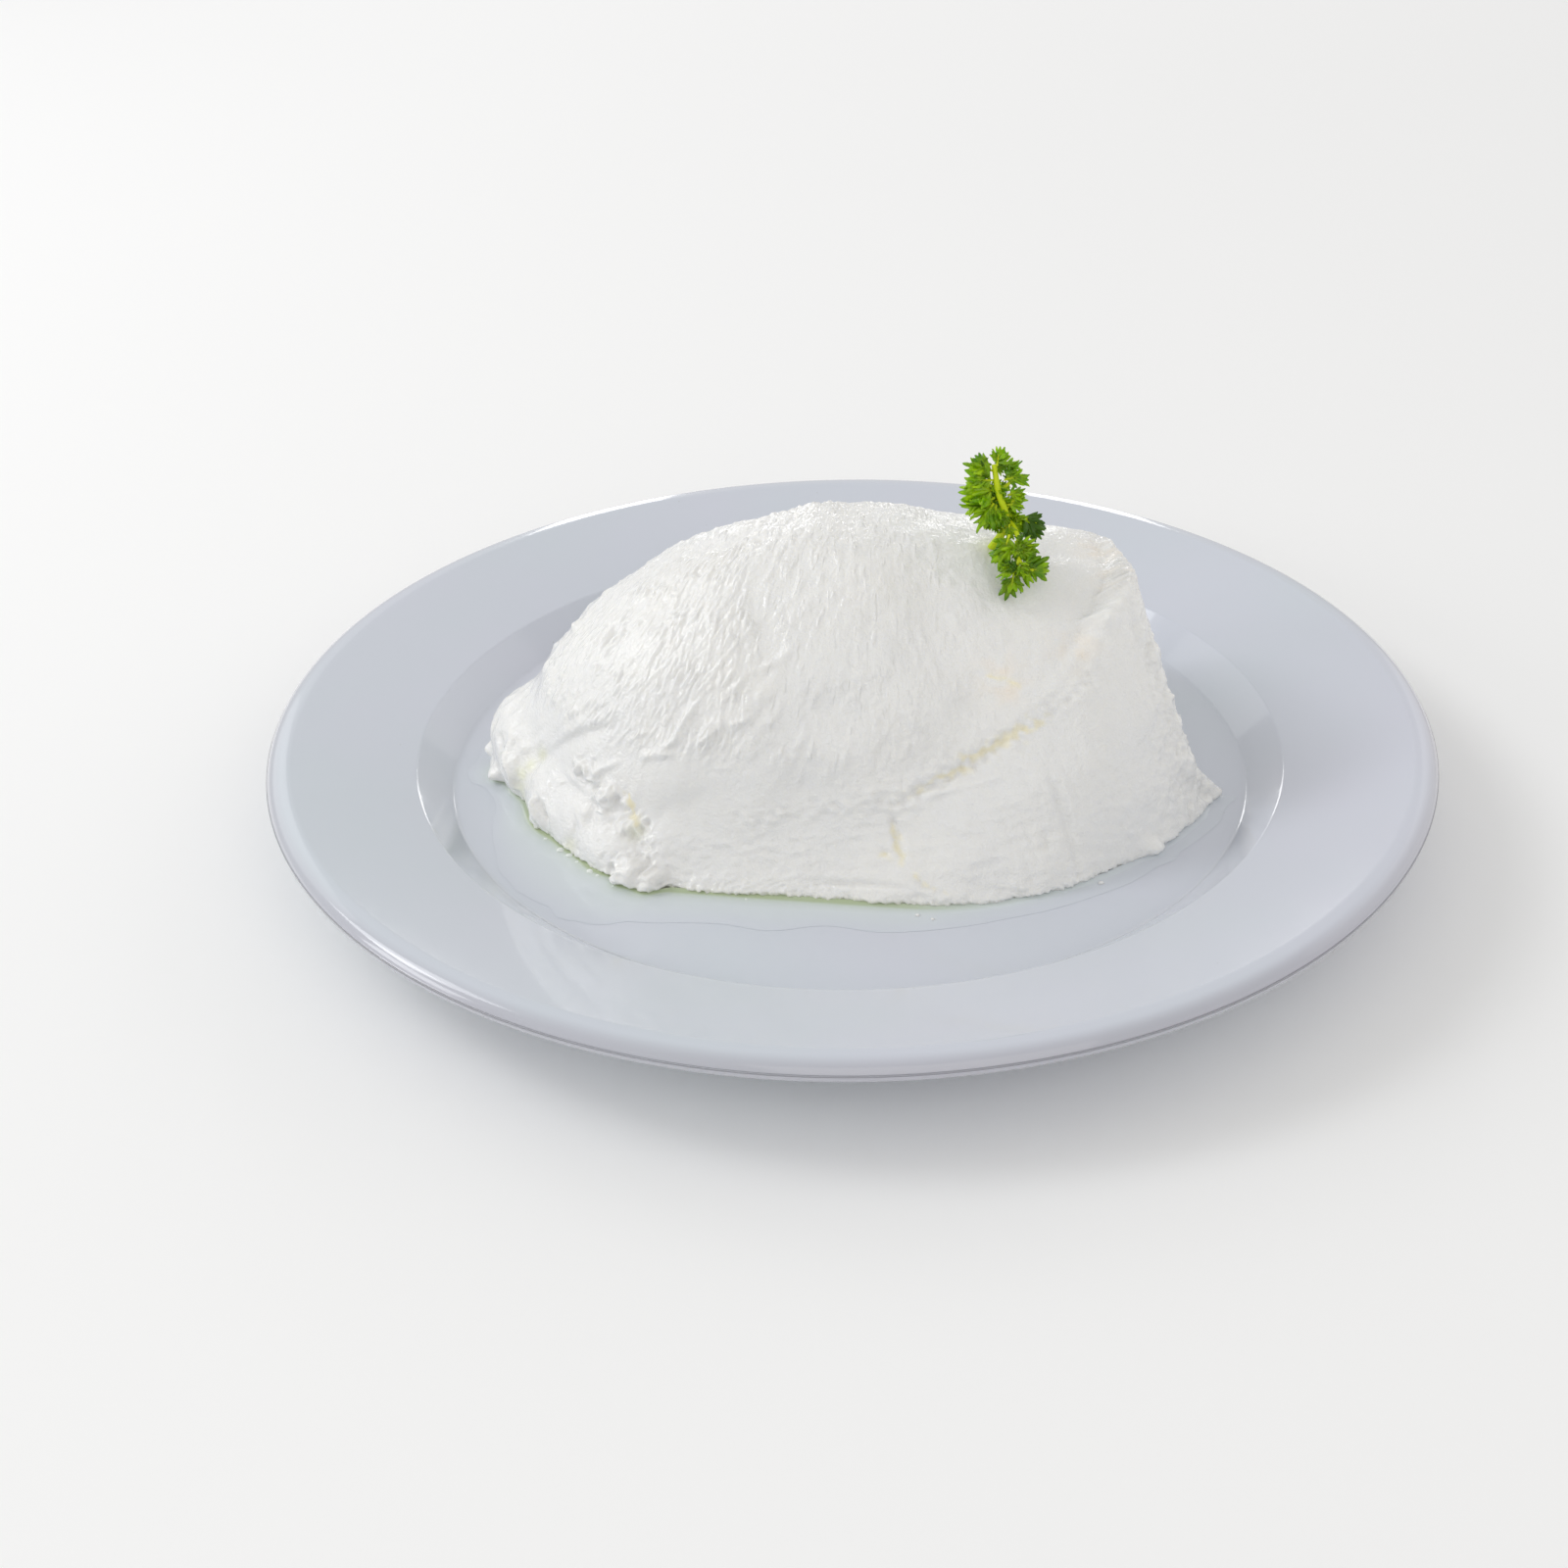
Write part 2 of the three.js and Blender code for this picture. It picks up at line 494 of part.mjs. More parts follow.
// A fan-shaped blade with a lobed, ruffled edge: two wavy faces and the thin edge between them.
function leafletGeometry({ foot, tip, fan, face }, order) {
  const start = new THREE.Vector3(...foot);
  const along = new THREE.Vector3(...tip).sub(start);
  const length = along.length();
  along.normalize();
  const normal = new THREE.Vector3(...face).normalize();
  normal.addScaledVector(along, -normal.dot(along)).normalize();
  const across = new THREE.Vector3().crossVectors(along, normal);
  const halfFan = THREE.MathUtils.degToRad(fan);
  const root = start.clone().addScaledVector(along, -LEAF.sunk);

  const point = (ray, ring, side) => {
    const share = ray / LEAF.rays;
    const fromMiddle = share * 2 - 1;
    const outwards = ring / LEAF.rings;
    const angle = fromMiddle * halfFan;
    const notch = 1 - Math.abs(Math.cos(share * LEAF.lobes * Math.PI));
    const out = outwards * length * (1 - LEAF.lobeDepth * notch - LEAF.shoulders * fromMiddle ** 2);
    const wave = Math.sin(share * LEAF.waves * 2 * Math.PI + order * LEAF.turnEach);
    const lift = LEAF.ruffle * outwards ** 1.5 * wave - LEAF.cup * out * Math.sin(angle) ** 2;
    return root.clone()
      .addScaledVector(along, out * Math.cos(angle))
      .addScaledVector(across, out * Math.sin(angle))
      .addScaledVector(normal, lift + (side * LEAF.thickness) / 2);
  };

  const positions = [];
  const triangle = (...corners) => corners.forEach((corner) => positions.push(...corner.toArray()));
  for (const side of [1, -1]) {
    const wind = (a, b, c) => (side > 0 ? triangle(a, c, b) : triangle(a, b, c));
    for (let ray = 0; ray < LEAF.rays; ray += 1) {
      wind(point(0, 0, side), point(ray, 1, side), point(ray + 1, 1, side));
      for (let ring = 1; ring < LEAF.rings; ring += 1) {
        const [a, b] = [point(ray, ring, side), point(ray + 1, ring, side)];
        const [c, d] = [point(ray, ring + 1, side), point(ray + 1, ring + 1, side)];
        wind(a, c, d);
        wind(a, d, b);
      }
    }
  }
  const edge = [];
  for (let ring = 0; ring <= LEAF.rings; ring += 1) {
    edge.push([0, ring]);
  }
  for (let ray = 1; ray <= LEAF.rays; ray += 1) {
    edge.push([ray, LEAF.rings]);
  }
  for (let ring = LEAF.rings - 1; ring >= 1; ring -= 1) {
    edge.push([LEAF.rays, ring]);
  }
  edge.forEach(([ray, ring], i) => {
    const [nextRay, nextRing] = edge[(i + 1) % edge.length];
    const [a, b] = [point(ray, ring, 1), point(nextRay, nextRing, 1)];
    const [c, d] = [point(ray, ring, -1), point(nextRay, nextRing, -1)];
    triangle(a, d, c);
    triangle(a, b, d);
  });
  const geometry = new THREE.BufferGeometry();
  geometry.setAttribute('position', new THREE.Float32BufferAttribute(positions, 3));
  return geometry;
}

function sprigManifold() {
  const stem = sweptStem([stemFoot().toArray(), STEM_BASE, ...STEM_LINE], STEM_RADIUS, STEM_STEPS);
  let sprig = toManifold(stem);
  STALKS.forEach((line) => {
    sprig = sprig.add(toManifold(sweptStem(line, STALK_RADIUS, STALK_STEPS)));
  });
  LEAFLETS.forEach((leaflet, order) => {
    sprig = sprig.add(toManifold(leafletGeometry(leaflet, order)));
  });
  return sprig;
}

function socketManifold() {
  const foot = stemFoot();
  const base = new THREE.Vector3(...STEM_BASE);
  const lean = base.clone().sub(foot).normalize();
  const bottom = foot.clone().addScaledVector(lean, -SOCKET.clearance);
  const top = base.clone().addScaledVector(lean, SOCKET.rise);
  return toManifold(sweptStem([bottom.toArray(), top.toArray()], SOCKET.radius, 1));
}

// ---- The whole ----
const plate = finishedMesh('plate', plateGeometry(), GLAZE);

const yogurtSolid = toManifold(moundGeometry()).subtract(socketManifold());
const yogurt = finishedMesh('yogurt', fromManifold(yogurtSolid), YOGURT);
const sprig = finishedMesh('parsley_sprig', fromManifold(sprigManifold()), PARSLEY);

const served = new THREE.Group();
served.position.z = WELL_FLOOR;
served.add(yogurt, sprig);

const dish = new THREE.Group();
dish.add(plate, served);

export default dish;
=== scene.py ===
"""A big scoop of thick strained yogurt on a glazed, wide-rimmed plate, with a sprig of curly
parsley stood in its top and a little whey along its foot.

Blender works in metres. The food is modelled in millimetres above the floor of the plate's well
and the plate in millimetres above the table, and each is brought to metres at the end.
"""
import json
import math

import bmesh
import bpy
import numpy as np
from mathutils import Matrix, Vector


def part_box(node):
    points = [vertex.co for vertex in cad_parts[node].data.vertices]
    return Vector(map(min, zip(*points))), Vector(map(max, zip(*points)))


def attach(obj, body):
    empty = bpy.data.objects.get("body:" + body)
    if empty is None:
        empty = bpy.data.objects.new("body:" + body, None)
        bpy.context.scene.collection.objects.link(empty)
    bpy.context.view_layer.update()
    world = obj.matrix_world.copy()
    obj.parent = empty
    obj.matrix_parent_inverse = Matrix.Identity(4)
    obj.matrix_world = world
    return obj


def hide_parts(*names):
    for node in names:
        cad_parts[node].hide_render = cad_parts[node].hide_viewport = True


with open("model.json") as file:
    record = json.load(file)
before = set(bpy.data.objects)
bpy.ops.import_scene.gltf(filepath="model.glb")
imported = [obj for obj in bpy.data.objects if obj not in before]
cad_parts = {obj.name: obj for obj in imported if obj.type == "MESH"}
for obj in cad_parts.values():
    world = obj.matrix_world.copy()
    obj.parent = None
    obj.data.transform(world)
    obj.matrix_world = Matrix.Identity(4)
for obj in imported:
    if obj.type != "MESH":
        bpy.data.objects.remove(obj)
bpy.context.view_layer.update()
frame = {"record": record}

MM = 0.001
BODY = frame["record"].get("behaviour", {}).get("bodies", [{"name": "root"}])[0]["name"]
PLATE_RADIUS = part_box("plate")[1].x / MM
WELL_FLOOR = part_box("yogurt")[0].z / MM

# ---- The camera of the photograph ----
CAMERA_PLACE = (0.0, -361.6, 221.4)
CAMERA_YAW, CAMERA_PITCH, CAMERA_ROLL = 1.987, 31.395, -1.473
CAMERA_LENS, CAMERA_SENSOR = 49.5, 36.0
CAMERA_NEAREST = 10.0
VIEW_RIGHT = np.array([0.99953, 0.02128, -0.02194])
VIEW_UP = np.array([0.00763, 0.52136, 0.85330])
VIEW_AHEAD = np.array([-0.02959, 0.85307, -0.52095])

# ---- Plate, in millimetres ----
SHOULDER_RADIUS, SHOULDER_HEIGHT = 82.5, 12.2
CREST_RADIUS, CREST_HEIGHT = 105.5, 18.4
WELL_RADIUS = 76.0
LIP_THICKNESS, LIP_UNDERCUT, LIP_ROUND = 4.6, 3.4, 1.6
BASE_THICKNESS = 4.5
FOOT_OUTER, FOOT_INNER, FOOT_TAPER = 63.0, 57.0, 0.8
PLATE_STEPS = 288
ARC_STEPS = 5
BARE_HEIGHT = 0.25  # the foot ring is left unglazed up to here
# Painted shade on the lip, between these radii.
PAINTED_LIP_SHADE_START, PAINTED_LIP_SHADE_END = 106.8, 109.8  # the lip takes a darker colour between these radii
SPECK_SPACING, SPECK_SIZE = 9.0, 0.018  # the size is a share of the spacing
GLAZE_SHINE = {"IOR": 1.5, "Coat Weight": 0.7, "Coat Roughness": 0.03, "Specular IOR Level": 0.4}

# ---- Yogurt, in millimetres above the well floor ----
MOUND_CENTRE = np.array([0.0, -4.0, 0.0])
MOUND_START, MOUND_HALVINGS = (70.0, 46.0, 50.0), 7  # half axes of the ball that is laid on the form
MOUND_REACH = 92.0
# The surface is looked for from outside in steps of a share of the distance, and then by halving.
STEP_SHARE, LEAST_STEP, SEARCH_HALVINGS = 0.6, 0.35, 7
# Where the mesh is halved once more, and then once again: two opposite corners of each box.
FINER_BOXES = [
    [((-99, -99, -9), (99, 6, 99)), ((-99, -99, 41), (99, 99, 99)), ((44, -99, -9), (99, 20, 99))],
    [((-57, -99, 21), (-17, -3, 99)), ((-62, -99, -9), (-34, -13, 16)), ((-99, -99, -9), (45, -38, 3))],
]
DOME = {
    "x": 9.0, "turn": math.radians(4), "left": 72.5, "right": 80.0, "front": 41.0, "back": 38.0,
    "height": 51.6, "droop": 3.4, "droop_length": 28.0, "squareness": 2.5,
}
TOP_PLANE = {"x": 10.0, "height": 50.4, "fall": 0.115}
TUB_WALL = {"x": 2.9, "y": 21.9, "radius": 75.8, "draft": math.radians(21.5)}
TORN_END = {"x": 65.6, "y": -20.0, "z": 1.5, "normal": (0.995, 0.1), "lean": math.radians(17)}
# Slopes of the skirt: the two ends of the foot and the degrees, and how softly a side meets the front.
SKIRT_FRONT = ((-36.8, -46.0), (18.9, -53.3), 50)
SKIRT_SIDES = [(((18.9, -53.3), (43.5, -46.6), 58), 3), (((-50.0, -33.5), (-36.8, -46.0), 52), 1.5)]
SKIRT_TOP = ((-60, -40, -20, 5, 20, 34, 60), (4, 6, 12, 16, 22, 31, 52))
SKIRT_JOIN = ((-20, 4, 24), (5.5, 4.5, 0.9))  # x, and how softly the skirt runs into the scoop there
SKIRT_PROUD = 1.4
TOP_BLEND, CUT_BLEND, CORNER_BLEND = 3, 1.2, 1.5
SKIRT_LEFT_END = {"x": -52.0, "across": 0.9, "up": 0.3}
SKIRT_BACK = 10.0

# Lumps and lobes: centre, half axes and the width of the blend into the mass.
LEFT_LOBES = [
    ((-52.5, -20.0, 3.0), (7.4, 9.0, 6.8), 3.5),
    ((-46.5, -27.0, 3.0), (6.0, 7.5, 6.0), 3.5),
    ((-41.5, -34.8, 1.5), (6.5, 6.5, 6.5), 3.0),
    ((-38.6, -42.4, 1.4), (3.8, 3.3, 3.2), 1.0),
    ((-35.4, -45.2, 1.0), (3.2, 2.2, 2.4), 1.0),
    ((-45.5, -26.5, 14.0), (4.2, 2.2, 1.7), 1.2),
    ((-43.0, -32.0, 11.0), (2.4, 2.2, 2.6), 1.2),
    ((-38.2, -36.0, 8.0), (3.6, 2.2, 1.8), 1.2),
]
TONGUE = [
    ((-56.5, 0.5, 5.5), (13.2, 12.5, 10.0), 4.0),
    ((-61.2, -9.0, 5.0), (5.2, 6.8, 5.8), 4.0),
    ((-69.0, -1.0, 3.2), (1.9, 2.0, 1.6), 1.0),
    ((-67.6, -8.2, 1.8), (1.8, 1.7, 1.3), 1.0),
    ((-64.5, -4.5, 1.5), (5.0, 5.0, 3.2), 1.5),
]
OTHER_LUMPS = [
    ((53.0, -34.2, 0.5), (3.8, 2.4, 2.4), 1.4),
    ((46.0, -19.5, 40.2), (2.0, 1.6, 1.6), 2.0),
    ((-38.0, 27.5, 2.0), (13.0, 6.5, 7.0), 3.0),
    ((-14.0, 35.5, 1.5), (11.0, 5.5, 6.0), 3.0),
    ((19.0, 37.5, 1.0), (17.0, 5.0, 9.0), 4.0),
    ((45.5, 32.0, 1.5), (9.0, 6.5, 8.0), 4.0),
]
# The pointed corner at the right: two ridges that meet at its tip, and how thick each is at its root.
CORNER = [
    ([(58.0, -19.0, 10.0), (69.4, -15.4, 0.4)], 4.8),
    ([(55.5, -29.0, 0.0), (69.4, -15.4, 0.4)], 3.4),
]
CORNER_TIP = 0.4
FLAKE_TOP, FLAKE_FOOT, FLAKE_COUNT = (49.6, -14.5, 43.5), (62.6, -19.6, 9.0), 9
FLAKE_SIZE, FLAKE_BLEND = (1.2, 1.9, 2.1), 1.3
FLAKE_LEAST_SCALE, FLAKE_MORE_SCALE, FLAKE_SHIFT_X, FLAKE_SHIFT_Y = 0.6, 0.6, 0.7, 2.4
# The flakes' random draw: each number is the one before times a factor plus a step, within the range.
DRAW_START, DRAW_FACTOR, DRAW_STEP, DRAW_RANGE = 7, 1664525, 1013904223, 4294967296

# Creases and raised folds: the line, how deep (raised is negative) and how wide.
CREASE = [(46.5, -20.5, 39.5), (43.6, -26.3, 32.1), (33, -32.8, 26.6), (19.2, -37.5, 19.2),
          (8.9, -39.8, 14.6), (-18.6, -39.9, 11.8), (-33, -40.5, 7.3)]
FOLDS = [
    (CREASE[2:5], 0.9, 1.0),
    ([(41.5, -27, 34.6), (31.5, -33.2, 29.2), (17.5, -37.6, 21.8)], -0.5, 1.6),
    ([(23.6, -28, 36.2), (28.8, -25.2, 38.5), (45.2, -20.4, 39.7)], 0.25, 1.3),
    ([(34.9, -36.9, 18.6), (38.1, -40.6, 11.6), (41, -45.5, 0.5)], 0.8, 0.8),
    ([(7.7, -40.9, 12.9), (9.6, -46.5, 6.6)], 0.8, 0.7),
    ([(-58.5, -17.8, 3.5), (-57.2, -17, 10), (-52.2, -20.5, 16), (-39.2, -28.6, 25.1)], 0.55, 1.4),
    ([(-34.9, -33.3, 21.2), (-30.2, -33.4, 24.4), (-26.8, -30.9, 30.1)], -0.55, 1.2),
    ([(-27.8, -35.4, 21.7), (-23.3, -33.7, 27.1), (-18.3, -33.9, 28.2), (-10, -28.5, 37.2)], -0.45, 1.2),
    ([(-19.4, -37, 21.6), (-12.8, -33.7, 29.7)], -0.35, 1.1),
    ([(-44, 25, 14), (-24, 32.5, 14.5), (4, 36.5, 13), (30, 37, 17), (44, 33, 23)], 1.2, 1.3),
    ([(2, 29, 33), (20, 29.5, 33), (38, 31, 28)], 0.9, 1.2),
    ([(-33, 23, 28), (-20, 21, 37), (-12, 17, 43)], -1.0, 1.3),
]
FOLD_TAPER, FOLD_BLUNTNESS = 0.22, 0.2

# Finer folds that only the finished surface has.
FINE_FOLDS = [
    ([(-25.4, -30.5, 31.3), (-27.3, -32.0, 29.7), (-29.5, -33.3, 26.4), (-30.9, -34.3, 23.9),
      (-34.1, -34.2, 21.7)], -0.55, 0.55),
    ([(-21.6, -32.1, 30.3), (-22.4, -33.9, 28.2), (-22.6, -34.6, 26.8), (-26.5, -35.4, 23.9),
      (-28.2, -35.8, 22.2)], -0.4, 0.45),
    ([(-21.8, -34.6, 27.1), (-17.7, -34.6, 28.3), (-15.6, -33.5, 30.1), (-15.0, -31.6, 33.3)], -0.4, 0.45),
    ([(-15.8, -29.1, 35.6), (-12.5, -28.8, 36.8), (-11.5, -29.5, 36.8), (-9.8, -27.6, 38.5),
      (-10.6, -26.4, 39.4), (-9.8, -24.1, 41.5), (-9.3, -21.4, 43.7)], -0.35, 0.45),
    ([(-13.5, -35.2, 27.3), (-12.6, -34.6, 29.1), (-11.5, -33.0, 31.1)], -0.3, 0.45),
    ([(-39.3, -30.6, 21.4), (-37.6, -30.8, 23.1), (-34.6, -31.6, 24.8)], -0.35, 0.5),
    ([(-34.3, -28.2, 29.8), (-32.1, -28.6, 30.6)], -0.3, 0.45),
    ([(-31.2, -31.2, 27.7), (-32.9, -31.8, 25.6)], -0.35, 0.5),
    ([(-23.9, -36.9, 19.9), (-21.2, -37.3, 20.2), (-19.4, -37.5, 22.1), (-17.5, -37.1, 22.7)], -0.25, 0.45),
    ([(-40.5, -26.3, 27.1), (-42.6, -25.6, 23.8), (-45.9, -23.6, 22.2), (-50.6, -20.3, 18.3),
      (-53.1, -18.5, 14.9), (-55.6, -16.8, 11.8)], -0.4, 0.9),
    ([(-65.8, -11.5, 10.5), (-64.9, -12.6, 8.0), (-63.9, -15.2, 5.9), (-63.4, -15.3, 3.2),
      (-60.9, -16.9, 3.6)], -0.6, 0.6),
    ([(-63.0, -10.5, 11.5), (-61.5, -14.0, 8.5), (-60.8, -15.5, 5.5)], 0.8, 0.9),
    ([(-66.5, -6.0, 10.5), (-66.4, -9.7, 8.0), (-66.6, -10.5, 5.0)], 0.9, 0.8),
    ([(-58.5, -22.9, 6.4), (-57.9, -25.7, 4.8), (-57.0, -27.1, 2.8), (-55.3, -27.4, 0.5)], -0.6, 0.5),
    ([(-57.5, -24.5, 6.7), (-56.5, -27.1, 5.0), (-55.2, -28.3, 3.6)], 0.6, 0.5),
    ([(-55.4, -20.5, 10.0), (-53.0, -24.2, 9.5), (-50.6, -25.7, 10.7)], -0.35, 0.5),
    ([(-45.7, -29.2, 13.7), (-44.0, -29.5, 15.7), (-40.7, -31.2, 18.1)], -0.5, 0.6),
    ([(-47.3, -32.4, 7.3), (-45.5, -32.1, 8.7)], -0.45, 0.5),
    ([(-41.9, -34.2, 11.1), (-39.7, -34.6, 12.0), (-39.0, -35.5, 10.7)], -0.5, 0.5),
    ([(-39.7, -14.3, 36.4), (-42.4, -15.6, 34.0), (-44.7, -18.4, 30.9), (-46.1, -20.4, 27.6)], -0.28, 0.5),
    ([(-35.0, -7.2, 40.7), (-38.2, -8.9, 38.6), (-41.2, -11.6, 36.2), (-43.7, -15.6, 33.0)], -0.28, 0.5),
    ([(-30.6, -13.3, 41.7), (-31.7, -18.2, 39.3), (-33.5, -22.1, 36.0), (-36.5, -25.0, 32.0)], -0.25, 0.5),
    ([(-39.6, -10.9, 37.4), (-41.3, -12.5, 35.8), (-43.1, -13.8, 34.2), (-44.5, -15.3, 32.5)], 0.7, 0.6),
    ([(-17.5, -29.6, 34.7), (-12.7, -28.9, 36.6), (-9.6, -27.4, 38.6)], -0.5, 0.7),
    ([(-37.4, -32.5, 19.9), (-33.9, -34.3, 21.3), (-30.2, -34.7, 21.9)], -0.6, 0.7),
    ([(-55.4, -16.3, 15.5), (-52.1, -18.3, 19.4), (-47.8, -21.2, 23.6), (-42.2, -24.2, 28.1)], -0.3, 1.0),
    ([(-4.5, -47.8, 2.9), (0.7, -48.4, 3.0), (5.8, -49.0, 3.0), (10.6, -49.5, 2.9)], 0.6, 0.5),
    ([(11.7, -48.4, 4.4), (13.0, -49.5, 3.1), (15.2, -50.0, 2.5), (17.9, -50.3, 1.9)], 0.6, 0.5),
    ([(45.3, -19.9, 39.1), (44.2, -21.6, 37.3), (43.6, -23.4, 34.7), (43.1, -25.0, 32.4),
      (41.2, -27.5, 29.7), (39.1, -29.4, 28.1), (36.8, -30.6, 26.9)], -0.22, 0.6),
    ([(28.9, -36.9, 18.9), (24.9, -38.0, 17.8), (16.3, -39.1, 16.1), (11.3, -40.3, 14.0)], -0.45, 0.6),
    ([(29.2, -36.9, 18.9), (31.4, -37.2, 18.1), (31.8, -38.2, 16.6), (30.0, -38.2, 17.0)], 0.5, 0.5),
    ([(46.8, 5.3, 43.7), (48.1, -1.9, 44.7), (48.6, -10.0, 45.0)], -0.5, 0.7),
    ([(-58.0, -23.9, 6.5), (-57.8, -26.3, 3.2), (-57.1, -25.4, 0.7)], -0.8, 0.5),
    ([(-56.7, -25.4, 6.8), (-55.7, -28.0, 4.2), (-54.7, -28.4, 1.7)], 0.7, 0.6),
    ([(-50.0, -29.9, 7.5), (-48.9, -33.2, 5.3), (-49.9, -33.3, 1.8)], 0.9, 0.7),
    ([(-44.9, -40.3, 2.5), (-39.5, -38.2, 7.0), (-35.1, -41.1, 5.5)], 0.7, 0.7),
    ([(-52.0, -24.0, 12.0), (-46.0, -29.5, 10.5), (-44.0, -34.0, 5.0)], -0.45, 0.9),
    ([(-63.5, -12.0, 9.5), (-58.0, -14.5, 12.5), (-52.0, -16.0, 18.5)], -0.35, 1.0),
    ([(-66.0, -1.0, 7.5), (-61.0, -5.0, 13.0), (-55.0, -8.0, 20.0)], 0.6, 0.9),
    ([(52.0, 22.0, 31.0), (44.0, 30.5, 27.0), (30.0, 33.0, 26.0)], -0.5, 0.9),
    ([(-52.0, 14.0, 22.0), (-40.0, 21.0, 25.0), (-28.0, 25.0, 27.0)], 0.6, 0.9),
]
# Small bumps and pits: centre, radius and height (a pit is negative).
KNOBS = [
    ((-50.8, -0.2, 29.4), 1.5, 0.9), ((-26.5, -9.0, 44.4), 1.0, -0.6), ((-25.0, -11.6, 44.6), 0.9, 0.5),
    ((-15.7, -3.7, 48.4), 0.9, -0.6), ((-17.0, -5.2, 48.1), 0.9, 0.45), ((-43.9, -33.9, 8.4), 1.5, 0.9),
    ((-47.1, -32.1, 7.7), 1.1, 0.7), ((-45.7, -29.3, 14.2), 1.3, 0.8), ((-42.7, -34.0, 12.5), 1.1, 0.6),
    ((-40.0, -35.2, 11.5), 1.0, 0.5), ((-38.3, -45.1, 3.5), 1.1, 0.6), ((-36.6, -44.4, 3.8), 0.8, -0.5),
    ((-34.7, -46.4, 3.2), 1.0, 0.6), ((6.4, -45.6, 7.5), 0.6, -0.4), ((65.3, -9.0, 1.0), 1.2, 0.7),
    ((48.4, -12.2, 44.2), 1.1, 0.7), ((49.0, -3.2, 43.8), 0.8, 0.5),
]

# Butterfat that shows as yellow streaks: the line and how wide it is.
BUTTERFAT = [
    ([(34.0, -31.6, 25.9), (30.2, -32.8, 24.6), (26.7, -34.0, 23.0), (23.2, -35.1, 21.6),
      (20.6, -35.9, 21.0)], 1.1),
    ([(20.6, -36.4, 19.3), (17.2, -37.0, 18.4), (13.8, -37.8, 16.9), (11.2, -38.5, 15.4),
      (8.6, -39.1, 14.2)], 0.8),
    ([(7.2, -39.9, 13.3), (7.8, -42.3, 10.7), (8.5, -44.3, 8.5)], 0.5),
    ([(8.5, -44.3, 8.5), (9.3, -46.0, 6.3)], 0.8),
    ([(6.4, -45.3, 7.5), (6.3, -45.4, 7.3)], 0.6),
    ([(11.7, -48.4, 4.4), (13.5, -49.5, 3.1), (17.4, -50.2, 2.1)], 0.35),
    ([(25.0, -28.4, 33.2), (27.6, -28.4, 32.7), (30.2, -28.9, 31.5)], 0.45),
    ([(-39.1, -34.5, 13.3), (-38.6, -35.6, 10.9), (-37.7, -37.7, 9.1)], 0.6),
    ([(-16, 35.0, 15.0), (-4, 36.0, 14.0), (6, 37.0, 13.4)], 0.7),
]
# Hollows where whey has gathered, tinted greenish yellow, partly as painted shade of the hollow: centre and
# radius.
WHEY_AND_SHADE_HOLLOWS = [
    ((-60.9, -16.9, 3.8), 1.9), ((-61.1, -16.4, 6.7), 1.5), ((-59.1, -16.0, 8.2), 1.5),
    ((-56.5, -16.2, 10.8), 1.5), ((26.1, -4.6, 46.4), 3.0), ((-49.9, -33.3, 1.8), 1.6),
    ((-37.7, -37.7, 7.4), 1.6),
]
WARM_PATCHES = [((47.0, 2.0, 44.0), 4.5), ((49.5, -9.0, 42.5), 4.0), ((27.6, -28.4, 32.7), 4.0),
                ((40.0, -24.0, 37.0), 4.0)]

# The drag marks run outwards from a line that passes above the mound, along the camera's view.
SWEEP_PLACE = 9.0 * VIEW_RIGHT + 100.0 * VIEW_UP
SWEEP_RADIUS = 75.0
# The marks are drawn at random between these values; low marks are the most common.
MARK_COUNT, MARK_SEED = 2400, 61
MARK_LENGTH, MARK_WIDTH, MARK_LEAN, MARK_BEND = (0.9, 3.6), (0.22, 0.36), 0.22, 0.3
MARK_LEAST_RISE, MARK_MORE_RISE = 0.14, 0.42
MARK_REACH_ACROSS, MARK_REACH_DEEP = 2.5, 8.0
MARK_FLOW = (1.2, 4.4, 2.6)  # how wide, long and deep the finest streaks are
# Relief of the finished surface: where it lies, its height, how long its waves are, and its seed. Some of
# it stands in ridges, and in some places the whole surface is sunk.
ROUND_RELIEF = [
    ("all", 0.20, 17, 1), ("all", 0.05, 7, 2), ("smooth", 0.03, 1.7, 7), ("smooth", 0.03, 4.5, 27),
    ("smears", 0.07, (7.0, 3.0, 2.6), 8), ("smears", 0.035, (2.4, 1.3, 1.2), 9),
    ("crease", 0.15, (2.4, 1.6, 1.6), 26), ("lobes", 0.10, 7.0, 10), ("wall", 0.02, 2.2, 13),
    ("end", 0.09, 1.3, 15), ("back", 0.15, 4.5, 16), ("back", 0.04, 1.8, 17),
]
RIDGED_RELIEF = [
    ("lobes", 0.05, 3.0, 11), ("tongue", 0.30, (7.0, 5.0, 9.0), 23), ("tongue", 0.07, 3.0, 11),
    ("clusters", 0.42, 3.0, 25), ("end", 0.22, (2.2, 2.6, 4.4), 14),
]
FOOT_TUCK = 0.9
SUNK = {"tongue": 0.3, "clusters": 0.08, "end": 0.1}
# Tints over the white: where, how strong and the colour. The whey tint is partly painted shade in hollows and
# along the foot.
YOGURT_TINTS = [("warm", 0.75, (0.91, 0.83, 0.73, 1)), ("whey_and_shade", 0.6, (0.80, 0.81, 0.50, 1)),
                ("butterfat", 0.72, (0.94, 0.86, 0.58, 1))]

